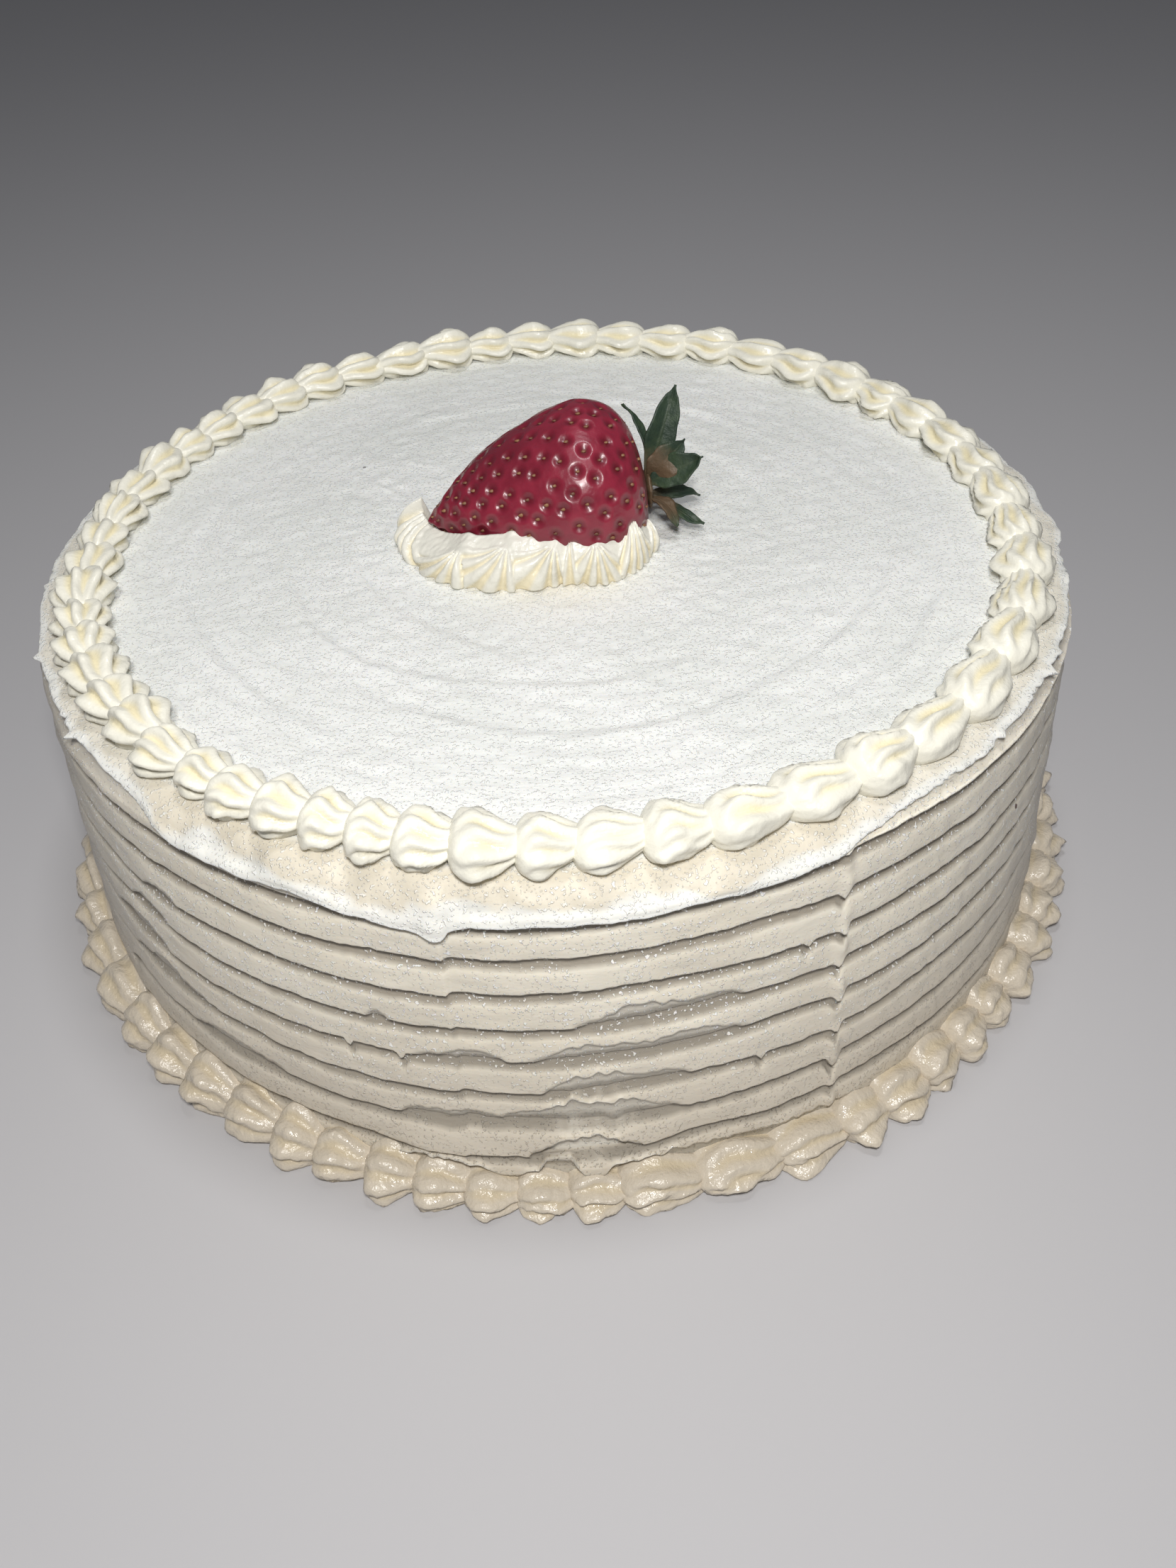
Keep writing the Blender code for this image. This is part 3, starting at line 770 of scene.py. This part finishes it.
def icing_top(look):
    """The top: flat face, soft shoulder and the torn edge that laps over the side."""
    edge_row = FLAT_ROWS + SHOULDER_ROWS
    inside = edge_row + len(EDGE_FORM)
    top, ring, column = add_drum("icing_top", TOP_COLUMNS, TOP_STEPS)
    azimuth = front_azimuths(column, TOP_COLUMNS, 0.4)
    ax, ay = turn_of(azimuth)
    edge_z, hang, edge_r = skirt_line(azimuth)
    part = np.clip((ring - FLAT_ROWS) / SHOULDER_ROWS, 0, 1)
    middle_r = 119.0 + 2.2 * hang
    radius = TOP_FLAT_R * (1 - part) ** 2 + 2 * middle_r * part * (1 - part) + edge_r * part ** 2
    height = TOP_Z * (1 - part) ** 2 + 2 * TOP_Z * part * (1 - part) + edge_z * part ** 2
    belly = np.stack([ax * SHOULDER_R, ay * SHOULDER_R, height * 1.4], axis=1)
    mask = smooth(0.15, 0.45, part) * smooth(1.0, 0.85, part)
    swell = mask * (0.35 + 0.65 * hang)
    swelling = 0.75 * waves(belly, 20.0, SEED + 13) + 0.25 * waves(belly, 7.0, SEED + 14)
    radius += swell * (swelling - 0.5 * hang)
    radius += 0.35 * hump(part, 0.93, 0.06) * hang

    flat = ring <= FLAT_ROWS
    radius = np.where(flat, TOP_FLAT_R * ring / FLAT_ROWS, radius)
    height = np.where(flat, TOP_Z, height)
    relief = spatula_relief(ax * radius, ay * radius)
    height += relief * smooth(118, 108, radius)
    for number, (out, down) in enumerate(EDGE_FORM, 1):
        here = ring == edge_row + number
        radius = np.where(here, edge_r + out, radius)
        height = np.where(here, edge_z + down, height)
    inner = ring > inside
    radius = np.where(inner, np.where(ring == inside + 1, UNDER_R, 0.0), radius)
    height = np.where(inner, UNDER_Z, height)
    write_turned(top.data, azimuth, radius, height)
    # The cream attribute is painted warm shade on the shoulder below the shells.
    blotch = 0.09 * waves(belly, 16.0, SEED + 15) + 0.03 * waves(belly, 5.0, SEED + 18)
    shade = smooth(0.1, 0.35, part) * smooth(0.9, 0.7, part + blotch)
    cream = shade * (0.5 + 0.5 * hang) + 0.22 * smooth(0.2, 0.5, part)
    cream *= ring <= edge_row
    from_ruffle = np.hypot(ax * radius - 1, 1.7 * (ay * radius + 24))
    # Painted warm shade on the top in front of the ruffle.
    cream += 0.5 * flat * hump(from_ruffle, 0, 17)
    paint(top.data, "cream", np.clip(cream, 0, 1))
    return finish_piece(top, look, "white_icing", "cake_body")


# Piped shells

SHELL_COLUMNS = 42
SHELL_RINGS = 34
SEEN_COLUMNS = 0.82


def shell_plan(count, pitches, draw):
    """Start, pitch and size of each shell of a rope, as the solids have them."""
    azimuth = pitches[0][0]
    starts = [azimuth]
    for _ in range(count):
        azimuth += float(along(pitches, azimuth)) * draw.uniform(0.9, 1.1)
        starts.append(azimuth)
    scale = 360 / (starts[-1] - starts[0])
    starts = [starts[0] + (start - starts[0]) * scale for start in starts]
    sizes = [draw.uniform(0.93, 1.07) for _ in starts]
    return [(start, end - start, size) for start, end, size in zip(starts, starts[1:], sizes)]


def shell_form(ring, column, ridges, depth, crisp, twist, seed, low=-28, high=208, fingers=0.0, calm=0.0):
    """One piped shell for unit sizes: part along it, across, up and how deep in a groove.

    Its head is at 0 and its tail at 1. The ridges that the star nozzle left swell from the head
    and run together at the tail. Fingers cut the grooves through the head, and calm smooths the outer side.
    """
    widest = 0.36
    part = (1 - np.cos(math.pi * ring / SHELL_RINGS)) / 2
    turn = np.radians(np.interp(column / SHELL_COLUMNS, [0, SEEN_COLUMNS, 1], [low, high, low + 360]))
    head = (1 - np.clip((widest - part) / widest, 0, 1) ** 2.3) ** (1 / 2.3)
    tail = np.clip((part - widest) / (1 - widest), 0, 1)
    swell = np.where(part < widest, head, (1 - tail ** 1.3) * 0.86 + 0.14 * np.sqrt(1 - tail ** 8))
    lens = np.sin(math.pi * np.clip((part - 0.12 + fingers) / (0.74 + fingers), 0, 1)) ** 0.8
    bend = part - 0.45 + 0.32 * np.sin(math.tau * part)
    phase = turn - math.radians(twist) * bend + seed % 7 * 0.3
    narrow = (1.9 - 1.2 * crisp) / (0.4 + 0.6 * lens)
    valley = ((1 - np.cos(ridges * phase)) / 2) ** narrow
    groove = lens * valley * (1 - calm * smooth(60, 10, np.degrees(turn)))
    petal = 0.10 * lens * hump(np.degrees(turn), 168 + seed % 3 * 6, 10)
    reach = 1 - depth * groove + petal - 0.014 * lens * np.abs(np.sin(1.5 * ridges * phase))
    bumps = np.stack([part * 14, 7 * np.cos(turn), 7 * np.sin(turn)], axis=1)
    reach *= 1 + 0.055 * waves(bumps, 9.0, seed) + 0.034 * waves(bumps, 3.4, seed + 500)
    across = swell * reach * np.cos(turn)
    up = 0.28 + 0.13 * part + 0.67 * swell * reach * np.sin(turn)
    return part, across, up, groove


def rim_shells(look):
    """The rope of shells on the rim, piped from left to right as seen from outside."""
    draw = random.Random(SEED)
    plan = shell_plan(RIM_SHELLS, RIM_PITCHES, draw)
    model, ring, column = add_ball("rim_shell", SHELL_COLUMNS, SHELL_RINGS)
    shells = []
    for number, (start, pitch, size) in enumerate(plan):
        middle = start + pitch / 2
        smear = float(along(RIM_SMEARS, middle))
        knobby = float(along(RIM_KNOBS, middle))
        crisp = float(along(RIM_CRISPNESS, middle)) * draw.uniform(0.75, 1.15)
        calm = float(along(RIM_CALM, middle))
        depth = (0.31 + 0.07 * knobby) * draw.uniform(0.85, 1.2) * (1 - 0.5 * smear)
        twist = draw.uniform(60, 110) * (1 - 0.6 * knobby)
        ridges = draw.choice((8, 8, 9, 10)) - round(1.4 * knobby)
        part, across, up, groove = shell_form(
            ring, column, ridges, depth, crisp, twist, 100 + number, fingers=0.25 * knobby, calm=calm)
        shell = copy_of(model, "rim_shell_%d" % number)
        width = RIM_HALF_WIDTH * (0.2 + 0.8 * size) * draw.uniform(0.9, 1.07) * (1 + 0.15 * smear)
        skew = draw.uniform(-0.05, 0.14)
        azimuth = start - pitch * 0.16 + pitch * (1.38 * part + skew * across)
        lean = draw.uniform(-0.7, 0.7) - 0.8 * part
        radius = RIM_R + lean + width * across
        tall = RIM_HEIGHT * size * draw.uniform(0.93, 1.04) * (1 - 0.15 * smear)
        height = TOP_Z + np.maximum(tall * up, -0.5)
        write_turned(shell.data, azimuth, radius, height, RIM_FORWARD)
        # The valley attribute carries painted warm shade into the grooves.
        paint(shell.data, "valley", groove * (1 - 0.4 * smear))
        shells.append(shell)
    bpy.data.objects.remove(model)
    rope = join(shells, "rim_shells")
    return finish_piece(rope, look, "piped_cream", "top_shell_border")


def foot_shells(look):
    """The rope of shells round the foot, half of each sunk in the side.

    The solids draw the rim's plan first, so it is drawn here too and let go.
    """
    draw = random.Random(SEED)
    shell_plan(RIM_SHELLS, RIM_PITCHES, draw)
    plan = shell_plan(FOOT_SHELLS, FOOT_PITCHES, draw)
    model, ring, column = add_ball("foot_shell", SHELL_COLUMNS, SHELL_RINGS)
    shells = []
    for number, (start, pitch, size) in enumerate(plan):
        middle = start + pitch / 2
        smear = float(along(FOOT_SMEARS, middle))
        depth = 0.2 * draw.uniform(0.7, 1.3) * (1 - 0.3 * smear)
        crisp = 0.7 * draw.uniform(0.6, 1.4)
        twist = draw.uniform(10, 40) + 30 * smear
        part, across, up, groove = shell_form(
            ring, column, 9, depth, crisp, twist, 200 + number, low=-40, high=130, fingers=0.15)
        shell = copy_of(model, "foot_shell_%d" % number)
        under_overhang = 1 - 0.25 * hump(middle, -4, 9)
        tall = FOOT_HEIGHT * float(along(FOOT_HEIGHTS, middle)) * size * under_overhang
        width = FOOT_WIDTH * (0.35 + 0.65 * size) * draw.uniform(0.93, 1.05)
        azimuth = start - pitch * 0.2 + pitch * (1.42 + 0.5 * smear) * part
        places = np.stack([part * 12, across * 9, up * 9], axis=1)
        rough = (0.5 + 0.8 * smear) * waves(places, 5.0, 300 + number)
        rough += (0.22 + 0.25 * smear) * waves(places, 2.0, 400 + number)
        lobe = 0.5 * smooth(0.25, 0.0, up) * (across > 0)
        lift = up - 0.3 * part ** 2
        tuck = 2.0 * smooth(0.0, -0.14, lift) * (across > 0)
        radius = FOOT_WALL_R - 0.6 + (width - 0.4 + rough) * across + lobe - tuck
        height = np.clip(tall * (1 - 0.2 * smear) * lift * 0.93, 0.0, None)
        write_turned(shell.data, azimuth, radius, height)
        # The valley attribute carries painted warm shade into the grooves.
        paint(shell.data, "valley", groove)
        shells.append(shell)
    bpy.data.objects.remove(model)
    rope = join(shells, "foot_shells")
    return finish_piece(rope, look, "piped_cream", "bottom_shell_border")


def ruffle_path(row):
    """Foot and peak of the ruffle at each row, with the corners rounded."""
    fine = np.linspace(0, len(RUFFLE) - 1, 600)
    knots = np.arange(len(RUFFLE))
    ends = []
    for which in (0, 1):
        for axis in range(3):
            values = np.interp(fine, knots, [pair[which][axis] for pair in RUFFLE])
            for _ in range(3):
                padded = np.pad(values, 15, mode="edge")
                values = np.convolve(padded, np.ones(31) / 31, mode="valid")
            ends.append(np.interp(row, fine, values))
    return np.stack(ends[:3], axis=1), np.stack(ends[3:], axis=1)


def centre_ruffle(look):
    """The ruffle that holds the strawberry: a bead whose ridges fan out from small peaks to its foot."""
    levels = math.prod(RUFFLE_STEPS)
    drum, ring, column = add_drum("centre_ruffle", RUFFLE_COLUMNS, RUFFLE_STEPS)
    last = len(RUFFLE) - 1
    row = np.clip((ring - 1) / levels, 0, 1) * last
    turned = column / RUFFLE_COLUMNS
    rise = np.clip(turned / CREST_SHARE, 0, 1)
    back = np.clip((turned - CREST_SHARE) / (1 - CREST_SHARE), 0, 1)
    foot, peak = ruffle_path(row)

    valley = np.zeros_like(row)
    crest = np.zeros_like(row)
    best = np.zeros_like(row)
    for apex, apex_rise, start, end, ridges, height in FANS:
        sideways = row - apex
        down = (apex_rise - rise) * ROWS_HIGH
        reach = np.hypot(sideways, down)
        part = (np.degrees(np.arctan2(sideways, down)) - start) / (end - start)
        here = np.sin(math.pi * np.clip(part, 0, 1)) ** 0.5 * smooth(0.04, 0.4, reach)
        near = reach - max(0, apex_rise - 1) * ROWS_HIGH
        score = here * np.clip(1.3 - 0.5 * near, 0.1, 1)
        cut = ((1 - np.cos(math.tau * ridges * (part + 0.03 * np.sin(7 * part + apex)))) / 2) ** 1.8
        valley = np.where(score > best, cut * smooth(0.1, 0.6, here), valley)
        best = np.maximum(best, score)
        crest = np.maximum(crest, 0.35 * hump(row, apex, 0.5) + height * hump(row, apex + 0.1, 0.2))
    crest += 4.2 * hump(row, 0.95, 0.12)
    peak[:, 2] += crest - 1.5

    outward = foot - peak
    outward[:, 2] = 0
    outward /= np.linalg.norm(outward, axis=1)[:, None]
    shoulder = foot + outward * 1.4
    shoulder[:, 2] = foot[:, 2] + 0.72 * (peak[:, 2] - foot[:, 2])
    rise3 = rise[:, None]
    front = foot * (1 - rise3) ** 2 + 2 * shoulder * rise3 * (1 - rise3) + peak * rise3 ** 2
    inner = foot - outward * 9.0
    back3 = back[:, None]
    places = front * (1 - back3) + inner * back3
    facing = outward * (1 - 0.55 * rise3) + np.array([0, 0, 1]) * (0.15 + 0.6 * rise3)
    facing /= np.linalg.norm(facing, axis=1)[:, None]
    ends = smooth(0, 0.5, row) * smooth(last, last - 0.4, row) * (1 - smooth(0, 0.3, back))
    relief = FAN_BULGE * best * (1 - 0.45 * rise) - RIDGE_DEPTH * valley * (1 - 0.4 * rise)
    relief += 0.2 * waves(places, 5.0, SEED + 21) + 0.07 * waves(places, 1.8, SEED + 22)
    places += facing * (relief * ends)[:, None]
    taper = np.sqrt(smooth(0, 0.9, row) * smooth(last, last - 0.7, row))
    base = foot - outward * 4.0
    places = base + (places - base) * (0.12 + 0.88 * taper)[:, None]
    middle = (ring == 0) | (ring == levels + 2)
    places = np.where(middle[:, None], base, places)
    places[:, 2] = np.maximum(places[:, 2], TOP_Z - 0.3)
    write_places(drum.data, places)
    # The valley attribute carries painted warm shade: in the grooves, and low along the ruffle's foot.
    paint(drum.data, "valley", np.clip(valley * (1 - 0.35 * rise) + 0.35 * (1 - rise) ** 2, 0, 1))
    return finish_piece(drum, look, "piped_cream", "centre_shell_row")


# The strawberry

def berry_radius(part):
    """Radius of the strawberry at a part of its length, from crown (0) to tip (1)."""
    widest = BERRY_SHOULDER / (BERRY_SHOULDER + BERRY_TAPER)
    rise = (part / widest) ** BERRY_SHOULDER
    fall = ((1 - part) / (1 - widest)) ** BERRY_TAPER
    return BERRY_R * rise * fall


def berry_frame():
    """Rows across, across and along the strawberry, and its length."""
    axis = BERRY_TIP - BERRY_CROWN
    return np.array(axis.to_track_quat("Z", "Y").to_matrix()), axis.length


def seed_spots():
    """Part of the length and turn of each seed: a spiral that keeps them evenly apart."""
    parts = np.linspace(0.001, 0.999, 900)
    girth = berry_radius(parts)
    slope = np.gradient(girth, parts * berry_frame()[1])
    crowd = 1 + 0.9 * smooth(0.6, 1.0, parts)
    area = np.cumsum(girth * np.sqrt(1 + slope ** 2) * crowd)
    area /= area[-1]
    number = np.arange(SEEDS)
    draw = np.random.default_rng(SEED + 2)
    part = np.interp((number + 0.5) / SEEDS, area, parts) + draw.normal(0, 0.004, SEEDS)
    turn = np.radians(number * GOLDEN_ANGLE) + draw.normal(0, 0.03, SEEDS)
    return np.clip(part, 0.02, 0.985), turn


def berry_point(part, turn, grow=0.0):
    """Places on the strawberry's skin, grown outwards by some millimetres."""
    turned, length = berry_frame()
    radius = berry_radius(part) + grow
    local = np.stack([radius * np.cos(turn), radius * np.sin(turn), part * length], axis=1)
    return np.array(BERRY_CROWN) + local @ turned.T


def skin_up(turn):
    """How far the strawberry's skin faces up at a turn about its length."""
    turned, _ = berry_frame()
    return np.cos(turn) * turned[2, 0] + np.sin(turn) * turned[2, 1]


def off_ends(part):
    """1 along the strawberry, and 0 at its crown and tip."""
    return smooth(0.0, 0.03, part) * smooth(1.0, 0.985, part)


def berry_relief(part, turn):
    """Broad relief of the skin, which the seeds follow too."""
    places = berry_point(part, turn)
    relief = 0.12 * waves(places, 7.0, SEED + 16) + 0.35 * waves(places, 26.0, SEED + 17)
    relief += BERRY_SWELL * hump(part, 0.26, 0.24) * smooth(-0.2, 1.0, skin_up(turn))
    return relief * off_ends(part)


def strawberry_skin(look):
    """The fruit's skin, swollen between dimples, each with a raised rim."""
    rings = math.prod(BERRY_STEPS) + 2
    skin, ring, column = add_drum("strawberry_skin", BERRY_COLUMNS, BERRY_STEPS)
    part = (1 - np.cos(math.pi * ring / rings)) / 2
    part = np.clip(part, 1e-6, 1 - 1e-6)
    turn = column / BERRY_COLUMNS * math.tau
    places = berry_point(part, turn)
    spots = berry_point(*seed_spots())
    near = np.full(len(places), 1e9)
    for spot in spots:
        near = np.minimum(near, np.linalg.norm(places - spot, axis=1))
    dent = -0.55 * np.exp(-(near / 1.3) ** 2.6) - 0.26 * hump(near, 0, 2.0) + 0.14 * hump(near, 1.95, 0.5)
    dent *= off_ends(part)
    places = berry_point(part, turn, dent + berry_relief(part, turn))
    places[:, 2] = np.maximum(places[:, 2], TOP_Z + 0.1)
    write_places(skin.data, places)
    # Painted shade in the dimples.
    paint(skin.data, "dimple", np.exp(-(near / 1.3) ** 3))
    upper = smooth(98, 112, places[:, 2] + 0.35 * places[:, 1])
    # Painted shade on the underside of the fruit.
    lower = 0.8 * smooth(102, 93, places[:, 2])
    paint(skin.data, "dark_back_and_low_shade", np.clip(upper * smooth(0.25, 0.8, part) * 0.9 + lower, 0, 1))
    return finish_piece(skin, look, "strawberry_flesh", "strawberry")


def strawberry_seeds(look):
    """Teardrop seeds, each lying in its dimple with its point towards the tip of the fruit."""
    model, _, _ = add_ball("seed", 8, 6)
    unit = read_places(model.data)
    turned, _ = berry_frame()
    parts, turns = seed_spots()
    relief = berry_relief(parts, turns) - 0.68
    spots = berry_point(parts, turns, relief)
    ahead = berry_point(np.minimum(parts + 0.01, 0.999), turns, relief)
    draw = random.Random(SEED + 3)
    seeds = []
    for spot, front, turn in zip(spots, ahead, turns):
        if spot[2] < TOP_Z + 0.6 or math.dist(spot, BERRY_CROWN) < 12.0:
            continue
        normal = turned @ np.array([math.cos(turn), math.sin(turn), 0.0])
        heading = front - spot
        heading -= normal * (heading @ normal)
        heading /= np.linalg.norm(heading)
        side = np.cross(normal, heading)
        size = draw.uniform(0.65, 0.9)
        slim = 1 - 0.35 * unit[:, 0]
        local = (np.outer(unit[:, 0] * 0.78, heading) + np.outer(unit[:, 1] * slim * 0.5, side)
                 + np.outer(unit[:, 2] * slim * 0.3, normal))
        seed = copy_of(model, "seed_%d" % len(seeds))
        write_places(seed.data, spot + local * size)
        seeds.append(seed)
    bpy.data.objects.remove(model)
    return finish_piece(join(seeds, "strawberry_seeds"), look, "strawberry_flesh", "strawberry")


def calyx_leaf(number, tip, width, lift, facing, brown, hub):
    """One leaf: a grid drawn to a point, folded on its rib, waved and curled, then given a thickness."""
    tip = np.array(tip)
    chord = tip - hub
    side = np.cross(chord, np.array(facing))
    side /= np.linalg.norm(side)
    normal = np.cross(side, chord)
    normal /= np.linalg.norm(normal)
    leaf = start_piece(
        "leaf_%d" % number, bpy.ops.mesh.primitive_grid_add, x_subdivisions=34, y_subdivisions=12, size=2.0)
    unit = read_places(leaf.data)
    out = (unit[:, 0] + 1) / 2
    across = unit[:, 1]
    half = 0.5 * width * (0.2 + np.sin(math.pi * out ** 0.95) ** 1.15) / 1.2
    half *= 1 - 0.96 * smooth(0.88, 1.0, out)
    half *= 1 + 0.07 * np.sin(out * 17 + number) * np.abs(across)
    fold = 0.3 * half * np.abs(across)
    wave = 0.55 * np.sin(7 * out + number * 1.7 + 0.8 * across) * across * smooth(0.1, 0.5, out)
    curl = 1.5 * smooth(0.75, 1.0, out) ** 2 * math.sin(number * 2.1)
    veins = 0.08 * np.cos((out * 9 - np.abs(across) * 1.6) * math.tau / 1.5) * np.abs(across)
    lifted = lift * np.sin(math.pi * out) + fold + wave + curl + veins
    places = (hub + np.outer(out, chord) + np.outer(across * half, side) + np.outer(lifted, normal))
    write_places(leaf.data, places)
    paint(leaf.data, "stem", 1 - out + brown)
    paint(leaf.data, "rib", np.exp(-(across / 0.12) ** 2) * (1 - 0.5 * out))
    wall = leaf.modifiers.new("thickness", "SOLIDIFY")
    wall.thickness = 0.4 * MM
    wall.offset = 0.0
    bpy.ops.object.modifier_apply(modifier=wall.name)
    return leaf


def calyx(look):
    """The hub and its leaves."""
    outward = (BERRY_CROWN - BERRY_TIP).normalized()
    middle = BERRY_CROWN + outward * (0.3 + HUB_THICKNESS / 2)
    hub, _, _ = add_ball("hub", 32, 12)
    unit = read_places(hub.data)
    turned = np.array(outward.to_track_quat("Z", "Y").to_matrix())
    angle = np.arctan2(unit[:, 1], unit[:, 0])
    spread = HUB_R * (1 + 0.08 * np.cos(9 * angle))
    local = np.stack([unit[:, 0] * spread, unit[:, 1] * spread, unit[:, 2] * HUB_THICKNESS * 0.55], axis=1)
    write_places(hub.data, np.array(middle) + local @ turned.T)
    paint(hub.data, "stem", np.ones(len(unit)))
    paint(hub.data, "rib", np.zeros(len(unit)))
    things = [hub]
    for number, (tip, width, lift, facing, brown) in enumerate(LEAVES, 1):
        reach = Vector(tip) - middle
        reach -= outward * reach.dot(outward)
        root = middle + reach.normalized() * (HUB_R * 0.6)
        things.append(calyx_leaf(number, tip, width, lift, facing, brown, np.array(root)))
    return finish_piece(join(things, "calyx_leaves"), look, "strawberry_leaf", "strawberry_calyx")


# Studio

def camera():
    data = bpy.data.cameras.new("camera")
    data.lens = CAMERA_LENS
    data.sensor_width = 36.0
    data.sensor_fit = "AUTO"
    data.clip_start = 0.01
    thing = bpy.data.objects.new("camera", data)
    turn = (Matrix.Rotation(math.radians(CAMERA_TURN), 4, "Z")
            @ Matrix.Rotation(math.radians(90 - CAMERA_DIP), 4, "X")
            @ Matrix.Rotation(math.radians(CAMERA_ROLL), 4, "Z"))
    thing.matrix_world = Matrix.Translation(CAMERA_PLACE) @ turn
    bpy.context.scene.collection.objects.link(thing)
    bpy.context.scene.camera = thing


def lamp(name, place, target, size, power, colour):
    data = bpy.data.lights.new(name, "AREA")
    data.shape = "DISK"
    data.size = size
    data.energy = power
    data.color = colour
    thing = bpy.data.objects.new(name, data)
    thing.location = place
    aim = Vector(target) - Vector(place)
    thing.rotation_mode = "QUATERNION"
    thing.rotation_quaternion = aim.to_track_quat("-Z", "Y")
    bpy.context.scene.collection.objects.link(thing)


def studio():
    """A plain pale floor, two lamps by the camera, one overhead and a weak sky."""
    floor = start_piece(
        "floor", bpy.ops.mesh.primitive_plane_add, size=FLOOR_SIZE, location=(0, 0, FLOOR_Z))
    look = Look("pale floor")
    floor.data.materials.append(look.surface(base_color=FLOOR_COLOUR, roughness=0.8))
    for row in LAMPS:
        lamp(*row)
    world = bpy.data.worlds.new("world")
    world.use_nodes = True
    sky = world.node_tree.nodes["Background"]
    sky.inputs["Color"].default_value = SKY_COLOUR
    sky.inputs["Strength"].default_value = SKY_STRENGTH
    bpy.context.scene.world = world
    bpy.context.scene.view_settings.view_transform = "Standard"


def main():
    camera()
    studio()
    icing_side(side_icing_look())
    icing_top(top_icing_look())
    rim_shells(piping_look("piped cream", *RIM_CREAM))
    foot_shells(piping_look("foot cream", *FOOT_CREAM))
    centre_ruffle(piping_look("ruffle cream", *RUFFLE_CREAM))
    strawberry_skin(berry_look())
    strawberry_seeds(seed_look())
    calyx(leaf_look())


main()
